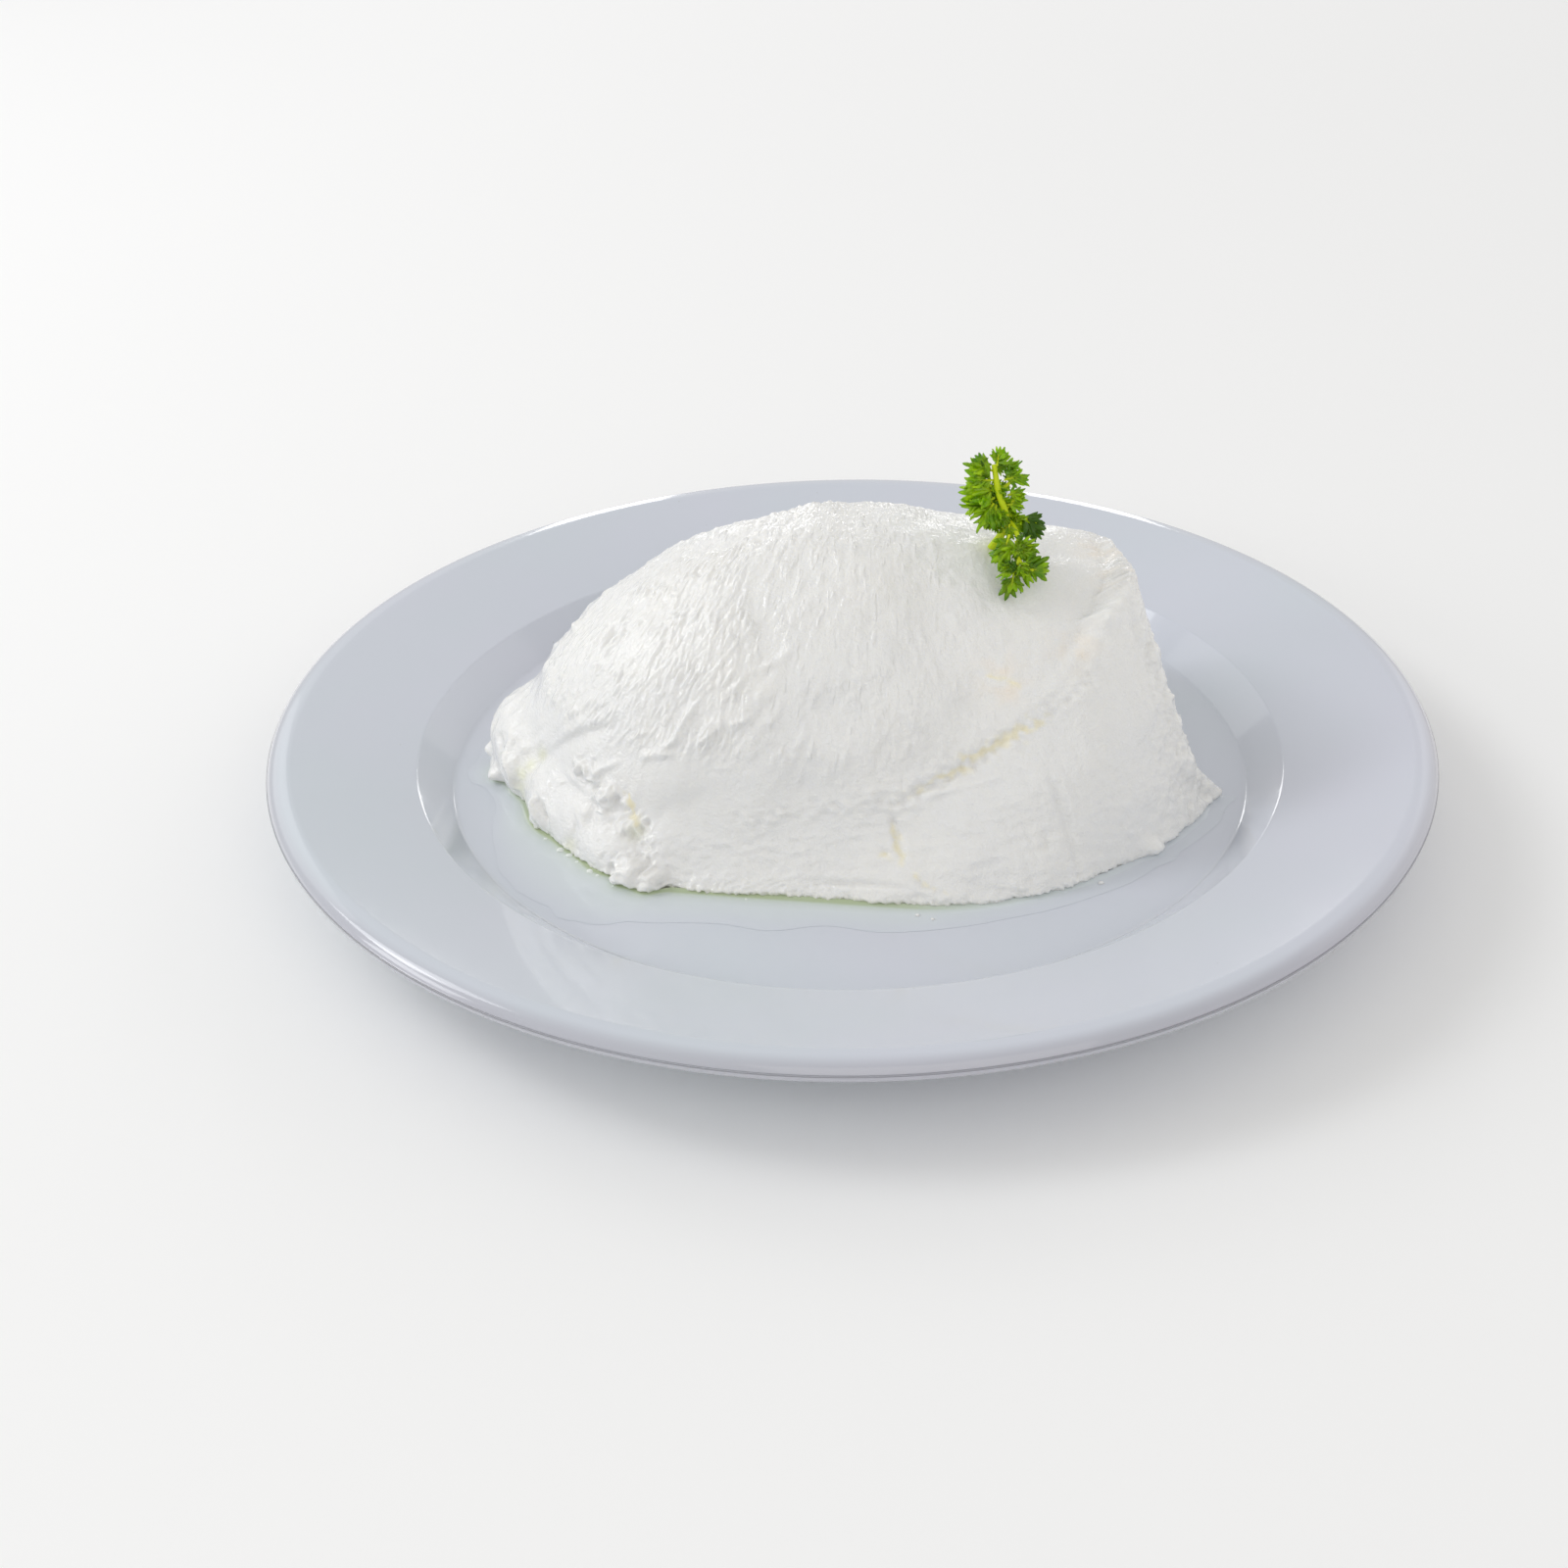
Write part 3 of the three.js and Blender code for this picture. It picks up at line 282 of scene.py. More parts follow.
# ---- Parsley, in millimetres above the well floor ----
STEM_LINE = [(23.3, -4.3, 41.2), (24.7, -4.5, 43.8), (26.1, -4.6, 46.4), (27.9, -4.9, 49.2),
             (28.9, -5.4, 51.4), (28.6, -6.3, 54.8), (27.2, -6.5, 58.0), (26.4, -4.4, 63.0)]
STALKS = [  # the line, the radius at its foot
    ([(28.7, -5.4, 53.0), (30.2, -7.3, 52.2), (30.8, -9.9, 50.9), (30.8, -12.0, 49.6), (30.6, -14.1, 48.2),
      (29.8, -15.3, 47.1)], 0.5),
    ([(28.0, -5.3, 57.5), (26.6, -5.2, 58.7), (25.3, -5.2, 59.6)], 0.42),
    ([(28.3, -5.4, 56.1), (26.6, -5.4, 56.6), (24.9, -5.4, 55.7)], 0.42),
    ([(27.9, -5.2, 58.6), (29.2, -5.1, 59.7), (30.0, -5.0, 60.5)], 0.4),
    ([(28.6, -5.4, 54.7), (29.9, -5.3, 56.5), (31.0, -5.3, 57.0)], 0.4),
    ([(28.8, -5.4, 53.7), (31.1, -5.3, 53.4), (32.9, -5.5, 52.5)], 0.42),
    ([(30.7, -13.5, 48.6), (31.5, -14.6, 47.7), (33.2, -15.0, 47.2)], 0.38),
    ([(30.8, -10.9, 50.3), (29.1, -11.6, 49.9), (27.3, -12.2, 49.6)], 0.32),
]
# Each leaflet: foot, tip, half angle of its fan in degrees, and its painted shade, how much darker it is
# painted from 0 to 1.
LEAFLETS = [
    ((26.9, -4.9, 62.9), (27.3, -4.0, 66.3), 50, 0.0), ((27.4, -3.9, 62.1), (31.2, -3.3, 62.6), 42, 0.2),
    ((28.2, -5.2, 60.3), (32.4, -5.0, 61.4), 36, 0.0), ((26.5, -4.6, 61.7), (21.6, -4.2, 63.7), 34, 0.1),
    ((26.5, -5.3, 60.3), (21.0, -5.6, 60.8), 36, 0.0), ((26.7, -5.7, 58.6), (20.6, -6.5, 58.4), 32, 0.0),
    ((26.6, -5.9, 57.3), (21.2, -6.8, 54.2), 34, 0.0), ((26.4, -6.1, 56.2), (23.1, -9.1, 53.2), 32, 0.0),
    ((26.9, -6.0, 55.9), (26.2, -8.9, 53.0), 28, 0.1), ((28.9, -5.4, 57.5), (32.3, -5.2, 57.7), 34, 0.0),
    ((28.8, -5.6, 55.7), (32.1, -5.8, 56.1), 32, 0.1), ((28.4, -5.8, 54.6), (28.2, -8.5, 52.8), 26, 0.2),
    ((29.3, -5.8, 53.7), (32.4, -6.2, 53.6), 34, 0.3), ((31.2, -5.0, 53.2), (36.2, -6.8, 51.6), 34, 0.9),
    ((31.4, -5.5, 52.5), (35.1, -6.2, 48.9), 34, 0.8), ((29.3, -6.6, 52.8), (32.2, -6.9, 50.7), 40, 0.1),
    ((29.2, -7.5, 52.8), (29.3, -8.1, 49.7), 36, 0.0), ((30.4, -11.2, 50.3), (25.7, -13.8, 48.9), 22, 0.0),
    ((30.4, -11.0, 50.3), (34.2, -11.9, 49.6), 38, 0.15), ((30.2, -10.7, 50.9), (30.9, -14.0, 48.6), 34, 0.2),
    ((29.1, -9.8, 51.7), (27.6, -13.9, 48.8), 24, 0.2), ((30.0, -14.7, 48.0), (27.1, -15.4, 47.4), 28, 0.1),
    ((30.9, -14.2, 47.7), (36.4, -15.2, 46.6), 44, 0.35), ((29.8, -15.0, 47.4), (28.8, -18.6, 43.7), 56, 0.3),
    ((30.5, -14.2, 48.2), (30.1, -16.4, 46.4), 40, 0.3),
]
STEM_RADIUS, STEM_SIDES, STEM_END = 0.95, 12, 0.5  # an end is a share of the radius at the foot
STALK_SIDES, STALK_END = 10, 0.6
RIB_RADIUS, RIB_SIDES, RIB_END = 0.26, 8, 0.4
LEAF_THICKNESS = 0.22
LEAF_TILT = 0.58
LEAF_SEED = 31
# Each leaflet has several blades: the turn as a share of its fan, and where along the leaflet the blade
# starts and how long it is, as shares of its length.
BLADES = [(0.0, 0.38, 0.64), (-1.0, 0.10, 0.62), (1.0, 0.12, 0.62), (-0.5, 0.26, 0.64), (0.52, 0.28, 0.62)]
FINGERS, FINGER_STEPS, BLADE_STEPS = 3, 6, 5
FINGER_CUT, FINGER_LENGTH, FINGER_BEND = 0.36, (0.82, 1.1), (-0.5, 0.35)
# Blade and filler shades are painted shade, drawn at random within their ranges.
BLADE_CURL, BLADE_CUP, BLADE_LENGTH, BLADE_PAINTED_SHADE = (-0.55, 0.12), (0.1, 0.5), (1.0, 1.18), (-0.1, 0.45)
BLADE_SWING, BLADE_FAN = (-7, 7), (32, 44)  # degrees
FILLER_COUNT, FILLER_FAN, FILLER_LENGTH, FILLER_PAINTED_SHADE = 54, 38, (1.9, 3.0), (0, 0.6)
# How near, how far behind and how far aside of the stem or of the lower stalk the fillers start.
FILLERS_ABOVE, FILLERS_BELOW = (0.7, 1.6, 2.4), (-1.3, 0.0, 1.2)

# ---- Crumbs and drops on the well floor ----
# Crumbs: x, y and radius.
CRUMBS = [(56.0, -32.8, 0.6), (50.3, -37.6, 0.5), (11.9, -54.0, 0.35), (14.5, -55.2, 0.3),
          (57.8, -30.9, 0.3), (44.6, -44.5, 0.4)]
# Drops of whey along the foot: azimuth in degrees, distance from the foot and radius.
DROPS = [(208.6, 0.3, 0.75), (211.0, 0.3, 0.65), (213.5, 0.4, 0.4), (217.5, 0.3, 0.65), (219.5, 0.5, 0.4),
         (204.0, 0.5, 0.4), (224.0, 0.4, 0.35), (248.0, 0.4, 0.35), (262.0, 0.4, 0.3)]
CRUMB_FLATNESS, DROP_FLATNESS = 0.8, 0.55
BIT_SEED, BIT_LUMPS, BIT_STRETCH = 51, 0.16, (0.9, 1.5)

# ---- Whey: azimuths in degrees, with how far the film reaches from the foot or how much of it there is ----
WHEY_REACH = (
    (0, 40, 90, 150, 178, 188, 197, 208, 215, 226, 240, 262, 285, 298, 330, 360),
    (1.0, 0.8, 1.0, 1.6, 2.5, 2.2, 5.0, 9.5, 12.5, 11.0, 7.0, 5.5, 4.5, 2.5, 1.2, 1.0),
)
FILM_GAP = 0.03  # the film lies just clear of the glaze
FILM_STEPS, FILM_SEED = 400, 41
FOOT_RISE = 0.004  # how steeply the foot is looked for from the centre
WHEY_AMOUNT = (
    (0, 40, 90, 150, 178, 188, 197, 208, 226, 262, 282, 298, 330, 360),
    (0.15, 0.15, 0.3, 0.5, 0.6, 0.7, 1.0, 1.0, 1.0, 1.0, 0.85, 0.45, 0.15, 0.15),
)
# The film's section, from under the yogurt outwards and back: distance from the foot, share of the reach,
# height and depth.
FILM_ROWS = [
    (-0.9, 0, 0.75, 0.8), (0.05, 0, 0.45, 0.75), (0.5, 0, 0.26, 0.45), (1.1, 0.05, 0.18, 0.28),
    (1.6, 0.2, 0.14, 0.19), (1.8, 0.45, 0.11, 0.15), (1.8, 0.75, 0.07, 0.09), (1.9, 1.0, 0.03, 0.04),
    (-0.9, 0, 0.0, 0.7),
]
# The film's colour at each depth: its own greenish tint, a band painted lighter than the glaze as painted
# light against the mound's shade, and a dark olive at the foot that is partly painted shade.
WHEY_TINTS_AND_PAINTED_LIGHT = [(0.05, (0.627, 0.661, 0.728, 1)), (0.20, (0.665, 0.718, 0.742, 1)),
              (0.45, (0.57, 0.64, 0.57, 1)), (0.75, (0.40, 0.48, 0.26, 1))]

# ---- Stage, in metres ----
FLOOR_RADIUS, FLOOR_STEPS = 6.0, 96
ROOM_COLOUR, ROOM_STRENGTH = (1.0, 0.995, 0.985, 1), 0.622
LIT_PLACE = (0, 0, 0.02)
DAYLIGHT, WHITE = (0.97, 0.985, 1.0), (1.0, 1.0, 1.0)


# ======== Small helpers ========
def unit(vectors):
    """A vector, or each row of several, brought to a length of 1."""
    vectors = np.asarray(vectors, float)
    return vectors / np.linalg.norm(vectors, axis=-1, keepdims=True)


def smooth_share(values, low, high):
    """0 below low, 1 above high and a smooth rise between them. Low may lie above high."""
    share = np.clip((values - low) / (high - low), 0, 1)
    return share * share * (3 - 2 * share)


def fading(distance, width):
    """1 at no distance, fading smoothly to almost 0 at twice the width."""
    return np.exp(-((distance / width) ** 2))


def distance_to(places, point):
    return np.linalg.norm(places - np.asarray(point, float), axis=1)


def field(places, seed, waves=26):
    """A smooth random value of about unit size at each place, with waves about one unit long."""
    draw = np.random.default_rng(seed)
    ways = unit(draw.normal(size=(waves, places.shape[1])))
    ways *= 2 * math.pi * draw.uniform(0.65, 1.5, (waves, 1))
    starts = draw.uniform(0, 2 * math.pi, waves)
    return np.sin(places @ ways.T + starts).sum(axis=1) * math.sqrt(2 / waves)


def ridges(places, seed):
    """Like field, but in sharp ridges whose crests are 1 high."""
    return 1 - np.abs(field(places, seed))


def line_distance(places, line):
    """How far each place is from a line of points, and where along the line, 0 to 1, it is nearest."""
    points = [np.asarray(point, float) for point in line]
    nearest = np.full(len(places), np.inf)
    along = np.zeros(len(places))
    walked = 0.0
    for start, end in zip(points, points[1:]):
        step = end - start
        length = np.linalg.norm(step)
        share = np.clip((places - start) @ step / length ** 2, 0, 1)
        distance = distance_to(places - share[:, None] * step, start)
        nearer = distance < nearest
        nearest = np.where(nearer, distance, nearest)
        along = np.where(nearer, walked + share * length, along)
        walked += length
    return nearest, along / walked


def fold_height(places, line, depth, width):
    """What a crease takes from the surface, fading out towards both its ends."""
    distance, along = line_distance(places, line)
    from_end = np.minimum(along, 1 - along) / FOLD_TAPER
    strength = smooth_share(from_end, -FOLD_BLUNTNESS, 1.0)
    return depth * strength * fading(distance, width)


def corners_of(bm):
    return np.array([vert.co[:] for vert in bm.verts])


def move_corners(bm, places):
    for vert, place in zip(bm.verts, places.tolist()):
        vert.co = place


def corner_normals(bm):
    bm.normal_update()
    return np.array([vert.normal[:] for vert in bm.verts])


def link(name, data):
    """Puts new data in the scene as an object."""
    made = bpy.data.objects.new(name, data)
    bpy.context.scene.collection.objects.link(made)
    return made


def piece_from(bm, name, slot, lift, materials, *nodes):
    """Turns a bmesh in millimetres into a lifted piece in metres that rides on the plate's body."""
    bmesh.ops.translate(bm, verts=bm.verts, vec=(0, 0, lift))
    bmesh.ops.scale(bm, verts=bm.verts, vec=(MM, MM, MM))
    mesh = bpy.data.meshes.new(name)
    bm.to_mesh(mesh)
    bm.free()
    mesh.shade_smooth()
    piece = link(name, mesh)
    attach(piece, BODY)
    if nodes:
        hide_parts(*nodes)
    for material in materials:
        mesh.materials.append(material)
    return piece


def set_attribute(piece, name, values):
    kind, field_name = ("FLOAT_VECTOR", "vector") if values.ndim == 2 else ("FLOAT", "value")
    made = piece.data.attributes.new(name, kind, "POINT")
    made.data.foreach_set(field_name, values.astype(np.float32).ravel())


# ======== Materials ========
def node(tree, kind, sockets=None, **settings):
    """Adds a node, sets its settings, and feeds each named socket a value or another socket."""
    made = tree.nodes.new(kind)
    for name, value in settings.items():
        setattr(made, name, value)
    for name, source in (sockets or {}).items():
        if isinstance(source, bpy.types.NodeSocket):
            tree.links.new(source, made.inputs[name])
        else:
            made.inputs[name].default_value = source
    return made


def maths(tree, operation, first, second=0.0, clamp=False):
    made = node(tree, "ShaderNodeMath", {0: first, 1: second}, operation=operation, use_clamp=clamp)
    return made.outputs[0]


def times(tree, first, second):
    return maths(tree, "MULTIPLY", first, second)


def scaled(tree, vector, factors):
    return node(tree, "ShaderNodeVectorMath", {0: vector, 1: factors}, operation="MULTIPLY").outputs[0]


def mixed(tree, share, first, second):
    made = node(tree, "ShaderNodeMix", {0: share, 6: first, 7: second}, data_type="RGBA")
    return made.outputs[2]


def smooth_range(tree, value, low, high, most):
    """0 below low, the most above high and a smooth rise between them."""
    sockets = {"Value": value, "From Min": low, "From Max": high, "To Max": most}
    return node(tree, "ShaderNodeMapRange", sockets, interpolation_type="SMOOTHSTEP").outputs[0]


def new_group(name, numbers, output):
    """A shader group that takes a place and some numbers, with these to start from, and puts out one."""
    tree = bpy.data.node_groups.new(name, "ShaderNodeTree")
    tree.interface.new_socket("Vector", in_out="INPUT", socket_type="NodeSocketVector")
    for label, value in numbers.items():
        socket = tree.interface.new_socket(label, in_out="INPUT", socket_type="NodeSocketFloat")
        socket.default_value = value
    tree.interface.new_socket(output, in_out="OUTPUT", socket_type="NodeSocketFloat")
    return tree, tree.nodes.new("NodeGroupInput"), tree.nodes.new("NodeGroupOutput")


def sized_noise(tree, given, detail, roughness):
    """A noise whose patches are as large as the group's size in millimetres, on metre coordinates."""
    scale = maths(tree, "DIVIDE", 1000.0, given.outputs["Size"])
    noise = node(tree, "ShaderNodeTexNoise", {"Vector": given.outputs["Vector"], "Scale": scale,
                                              "Detail": detail, "Roughness": roughness})
    return noise.outputs[0]


def mottle_group():
    """Soft uneven patches between 0 and 1."""
    tree, given, result = new_group("Mottle", {"Size": 10.0, "Contrast": 1.0}, "Mask")
    centred = maths(tree, "SUBTRACT", sized_noise(tree, given, 3.0, 0.55), 0.5)
    spread = times(tree, centred, given.outputs["Contrast"])
    tree.links.new(maths(tree, "ADD", spread, 0.5, clamp=True), result.inputs["Mask"])
    return tree


def grain_group():
    """A fine relief, with its height in millimetres."""
    tree, given, result = new_group("Fine grain", {"Size": 1.0, "Height": 0.05}, "Relief")
    relief = times(tree, sized_noise(tree, given, 2.0, 0.6), given.outputs["Height"])
    tree.links.new(relief, result.inputs["Relief"])
    return tree


def gloss_group():
    """Roughness that wanders between a wet and a dry value in patches."""
    tree, given, result = new_group("Uneven gloss", {"Size": 4.0, "Wet": 0.2, "Dry": 0.5}, "Roughness")
    share = node(tree, "ShaderNodeMapRange",
                 {"Value": sized_noise(tree, given, 2.0, 0.5), "From Min": 0.35, "From Max": 0.65,
                  "To Min": given.outputs["Wet"], "To Max": given.outputs["Dry"]})
    tree.links.new(share.outputs[0], result.inputs["Roughness"])
    return tree


MOTTLE, GRAIN, GLOSS = mottle_group(), grain_group(), gloss_group()


def new_material(name, **constants):
    """A material with one Principled shader; the constants are set on its own sockets."""
    material = bpy.data.materials.new(name)
    material.use_nodes = True
    tree = material.node_tree
    tree.nodes.clear()
    shader = node(tree, "ShaderNodeBsdfPrincipled", constants)
    node(tree, "ShaderNodeOutputMaterial", {"Surface": shader.outputs[0]})
    return material, tree, shader


def attribute(tree, name, output="Fac"):
    return node(tree, "ShaderNodeAttribute", attribute_name=name).outputs[output]


def object_place(tree):
    return node(tree, "ShaderNodeTexCoord").outputs["Object"]


def bump(tree, height_mm):
    """Turns a height in millimetres into a normal."""
    return node(tree, "ShaderNodeBump", {"Height": height_mm, "Distance": MM}).outputs[0]


def mottled(tree, place, size, contrast, first, second, share=None):
    """Two colours in soft patches. The share says how far the second colour goes."""
    mask = node(tree, "ShaderNodeGroup", {"Vector": place, "Size": size, "Contrast": contrast},
                node_tree=MOTTLE).outputs["Mask"]
    if share:
        mask = times(tree, mask, share)
    return mixed(tree, mask, first, second)


def gloss_of(tree, place, size, wet, dry):
    return node(tree, "ShaderNodeGroup", {"Vector": place, "Size": size, "Wet": wet, "Dry": dry},
                node_tree=GLOSS).outputs["Roughness"]


def grain_of(tree, place, size, height):
    return node(tree, "ShaderNodeGroup", {"Vector": place, "Size": size, "Height": height},
                node_tree=GRAIN).outputs["Relief"]


def finish(tree, shader, place, base, gloss, grain):
    """Feeds the shader its colour, its gloss (patch size, wet, dry) and its grain (size, height)."""
    tree.links.new(base, shader.inputs["Base Color"])
    tree.links.new(gloss_of(tree, place, *gloss), shader.inputs["Roughness"])
    tree.links.new(bump(tree, grain_of(tree, place, *grain)), shader.inputs["Normal"])


def plain_material(name, patches, gloss, grain, **constants):
    """A material of two colours in patches (size, contrast, colours), with uneven gloss and a grain."""
    material, tree, shader = new_material(name, **constants)
    place = object_place(tree)
    finish(tree, shader, place, mottled(tree, place, *patches), gloss, grain)
    return material


def glaze_material():
    material, tree, shader = new_material("Bluish white glaze", **GLAZE_SHINE)
    place = object_place(tree)
    base = mottled(tree, place, 70.0, 2.2, (0.612, 0.664, 0.715, 1), (0.642, 0.658, 0.742, 1))
    around = scaled(tree, place, (1, 1, 0))
    radius = node(tree, "ShaderNodeVectorMath", {0: around}, operation="LENGTH").outputs["Value"]
    # Painted shade: the outer lip is painted darker and more lilac.
    painted_lip_shade = smooth_range(tree, radius, PAINTED_LIP_SHADE_START * MM, PAINTED_LIP_SHADE_END * MM, 0.55)
    base = mixed(tree, painted_lip_shade, base, (0.40, 0.385, 0.435, 1))
    speck = node(tree, "ShaderNodeTexVoronoi", {"Vector": place, "Scale": 1 / (SPECK_SPACING * MM)})
    dot = maths(tree, "LESS_THAN", speck.outputs["Distance"], SPECK_SIZE)
    base = mixed(tree, times(tree, dot, 0.35), base, (0.34, 0.33, 0.31, 1))
    finish(tree, shader, place, base, (30.0, 0.11, 0.17), (14.0, 0.05))
    return material


def bare_clay_material():
    return plain_material("Bare fired clay", (5.0, 1.8, (0.62, 0.57, 0.49, 1), (0.72, 0.68, 0.61, 1)),
                          (3.0, 0.7, 0.9), (0.5, 0.05), IOR=1.5)


def drag_relief(tree):
    """Fine raised streaks along the flow of the drag marks, in millimetres."""
    flow = attribute(tree, "flow", "Vector")
    drag = node(tree, "ShaderNodeTexNoise", {"Vector": flow, "Scale": 1.0, "Detail": 1.0})
    finer_flow = scaled(tree, flow, (2.1, 1.6, 1.6))
    fine_drag = node(tree, "ShaderNodeTexNoise", {"Vector": finer_flow, "Scale": 1.0, "Detail": 1.0})
    streaks = smooth_range(tree, drag.outputs[0], 0.52, 0.74, 0.17)
    dragged = maths(tree, "ADD", streaks, times(tree, fine_drag.outputs[0], 0.11))
    return times(tree, dragged, attribute(tree, "ripples"))


def yogurt_material():
    material, tree, shader = new_material(
        "Moist strained yogurt",
        **{"IOR": 1.4, "Subsurface Weight": 0.5, "Subsurface Radius": (1.0, 0.97, 0.88),
           "Subsurface Scale": 0.0009, "Specular IOR Level": 0.4, "Coat Weight": 0.8,
           "Coat Roughness": 0.09, "Coat IOR": 1.5})
    place = object_place(tree)
    base = mottled(tree, place, 16.0, 1.8, (0.862, 0.862, 0.852, 1), (0.872, 0.862, 0.832, 1))
    base = mottled(tree, place, 2.2, 1.6, base, (0.905, 0.905, 0.895, 1), 0.35)
    for mask, share, colour in YOGURT_TINTS:
        base = mixed(tree, times(tree, attribute(tree, mask), share), base, colour)
    tree.links.new(base, shader.inputs["Base Color"])
    wetter = times(tree, attribute(tree, "ripples"), 0.08)
    roughness = maths(tree, "SUBTRACT", gloss_of(tree, place, 3.0, 0.36, 0.58), wetter)
    tree.links.new(roughness, shader.inputs["Roughness"])
    curd = grain_of(tree, place, 1.1, 0.12)
    fine_curd = grain_of(tree, place, 0.55, 0.10)
    height = maths(tree, "ADD", maths(tree, "ADD", curd, fine_curd), drag_relief(tree))
    normal = bump(tree, height)
    tree.links.new(normal, shader.inputs["Normal"])
    tree.links.new(normal, shader.inputs["Coat Normal"])
    return material


def leaf_material():
    material, tree, shader = new_material(
        "Curly parsley leaf", **{"IOR": 1.4, "Subsurface Weight": 0.25, "Subsurface Radius": (0.7, 1.0, 0.2),
                                 "Subsurface Scale": 0.0008, "Specular IOR Level": 0.12,
                                 "Coat Weight": 0.35, "Coat Roughness": 0.16})
    place = object_place(tree)
    base = mottled(tree, place, 2.6, 3.2, (0.120, 0.310, 0.001, 1), (0.430, 0.690, 0.006, 1))
    across, out, painted_shade = node(tree, "ShaderNodeSeparateXYZ", {0: attribute(tree, "blade", "Vector")}).outputs
    folds = maths(tree, "ABSOLUTE", maths(tree, "SINE", times(tree, across, 1.5 * math.pi)))
    vein = times(tree, maths(tree, "GREATER_THAN", folds, 0.985), 0.5)
    base = mixed(tree, vein, base, (0.40, 0.58, 0.06, 1))
    foot = maths(tree, "SUBTRACT", 1.0, times(tree, out, 2.2), clamp=True)
    base = mixed(tree, times(tree, foot, 0.75), base, (0.46, 0.62, 0.03, 1))
    # Painted shade: blades with a higher shade value are mixed towards a deep green.
    base = mixed(tree, times(tree, painted_shade, 0.9), base, (0.022, 0.080, 0.004, 1))
    finish(tree, shader, place, base, (2.0, 0.26, 0.5), (0.5, 0.08))
    return material


def stem_material():
    return plain_material("Parsley stem", (3.0, 2.0, (0.47, 0.62, 0.006, 1), (0.64, 0.76, 0.015, 1)),
                          (2.0, 0.3, 0.5), (0.4, 0.05),
                          **{"IOR": 1.4, "Specular IOR Level": 0.2, "Subsurface Weight": 0.2,
                             "Subsurface Radius": (0.5, 1.0, 0.15), "Subsurface Scale": 0.001,
                             "Coat Weight": 0.2, "Coat Roughness": 0.25})


def whey_material():
    """Greenish where the whey is deep, and dark olive against the foot, partly painted shade; a band is
    painted lighter than the glaze as painted light; at its thin edge it has the glaze's own colour and shine.
    """
    material, tree, shader = new_material("Thin whey", **GLAZE_SHINE)
    place = object_place(tree)
    tint = node(tree, "ShaderNodeValToRGB", {0: attribute(tree, "depth")})
    stops = tint.color_ramp.elements
    for number, (position, colour) in enumerate(WHEY_TINTS_AND_PAINTED_LIGHT):
        stop = stops[number] if number < 2 else stops.new(position)
        stop.position, stop.color = position, colour
    # The patches are painted lighter than the glaze, painted light against the mound's shade.
    base = mottled(tree, place, 6.0, 1.0, tint.outputs[0], (0.66, 0.71, 0.74, 1), 0.25)
    finish(tree, shader, place, base, (6.0, 0.04, 0.12), (5.0, 0.06))
    return material


def drop_material():
    # Painted highlight: the drops are painted whitish, partly for their glint.
    return plain_material("Whey drop", (3.0, 1.0, (0.76, 0.82, 0.78, 1), (0.84, 0.87, 0.83, 1)),
                          (2.0, 0.05, 0.12), (1.5, 0.02),
                          **{"IOR": 1.34, "Coat Weight": 1.0, "Coat Roughness": 0.02})


def floor_material():
    material, tree, shader = new_material("Pale floor", Roughness=0.9)
    base = mottled(tree, object_place(tree), 400.0, 0.5, (0.93, 0.93, 0.93, 1), (0.96, 0.96, 0.96, 1))
    tree.links.new(base, shader.inputs["Base Color"])
    return material


# ======== Plate ========
def rounded_outline(corners):
    """Points of an open outline whose corners (x, height, radius) are rounded by arcs."""
    outline = []
    for i, (x, height, radius) in enumerate(corners):
        corner = Vector((x, height))
        if not radius:
            outline.append(corner)
            continue
        back = (Vector(corners[i - 1][:2]) - corner).normalized()
        ahead = (Vector(corners[i + 1][:2]) - corner).normalized()
        half = back.angle(ahead) / 2
        centre = corner + (back + ahead).normalized() * (radius / math.sin(half))
        start = corner + back * (radius / math.tan(half)) - centre
        end = corner + ahead * (radius / math.tan(half)) - centre
        turn = math.atan2(start.x * end.y - start.y * end.x, start.dot(end))
        for step in range(ARC_STEPS + 1):
            outline.append(centre + Matrix.Rotation(turn * step / ARC_STEPS, 2) @ start)
    return outline


def plate_outline():
    base = WELL_FLOOR - BASE_THICKNESS
    underside = CREST_HEIGHT - LIP_THICKNESS
    outline = rounded_outline([
        (0, base, 0),
        (FOOT_INNER - FOOT_TAPER, base, 0.6),
        (FOOT_INNER, 0, 0.5),
        (FOOT_OUTER, 0, 0.5),
        (FOOT_OUTER + FOOT_TAPER, base, 0.8),
        (WELL_RADIUS + 2, base + 0.4, 7),
        (SHOULDER_RADIUS + 1.6, SHOULDER_HEIGHT - LIP_THICKNESS, 9),
        (PLATE_RADIUS - LIP_UNDERCUT, underside - 0.4, 1.6),
        (PLATE_RADIUS, underside + LIP_ROUND, 1.8),
        (PLATE_RADIUS - 0.6, CREST_HEIGHT - 0.2, 2.6),
        (CREST_RADIUS, CREST_HEIGHT, 3),
        (SHOULDER_RADIUS, SHOULDER_HEIGHT, 1.5),
        (WELL_RADIUS, WELL_FLOOR, 1.6),
        (0, WELL_FLOOR, 0),
    ])
    widest = max(point.x for point in outline)
    return [Vector((point.x * PLATE_RADIUS / widest, 0, point.y)) for point in outline]


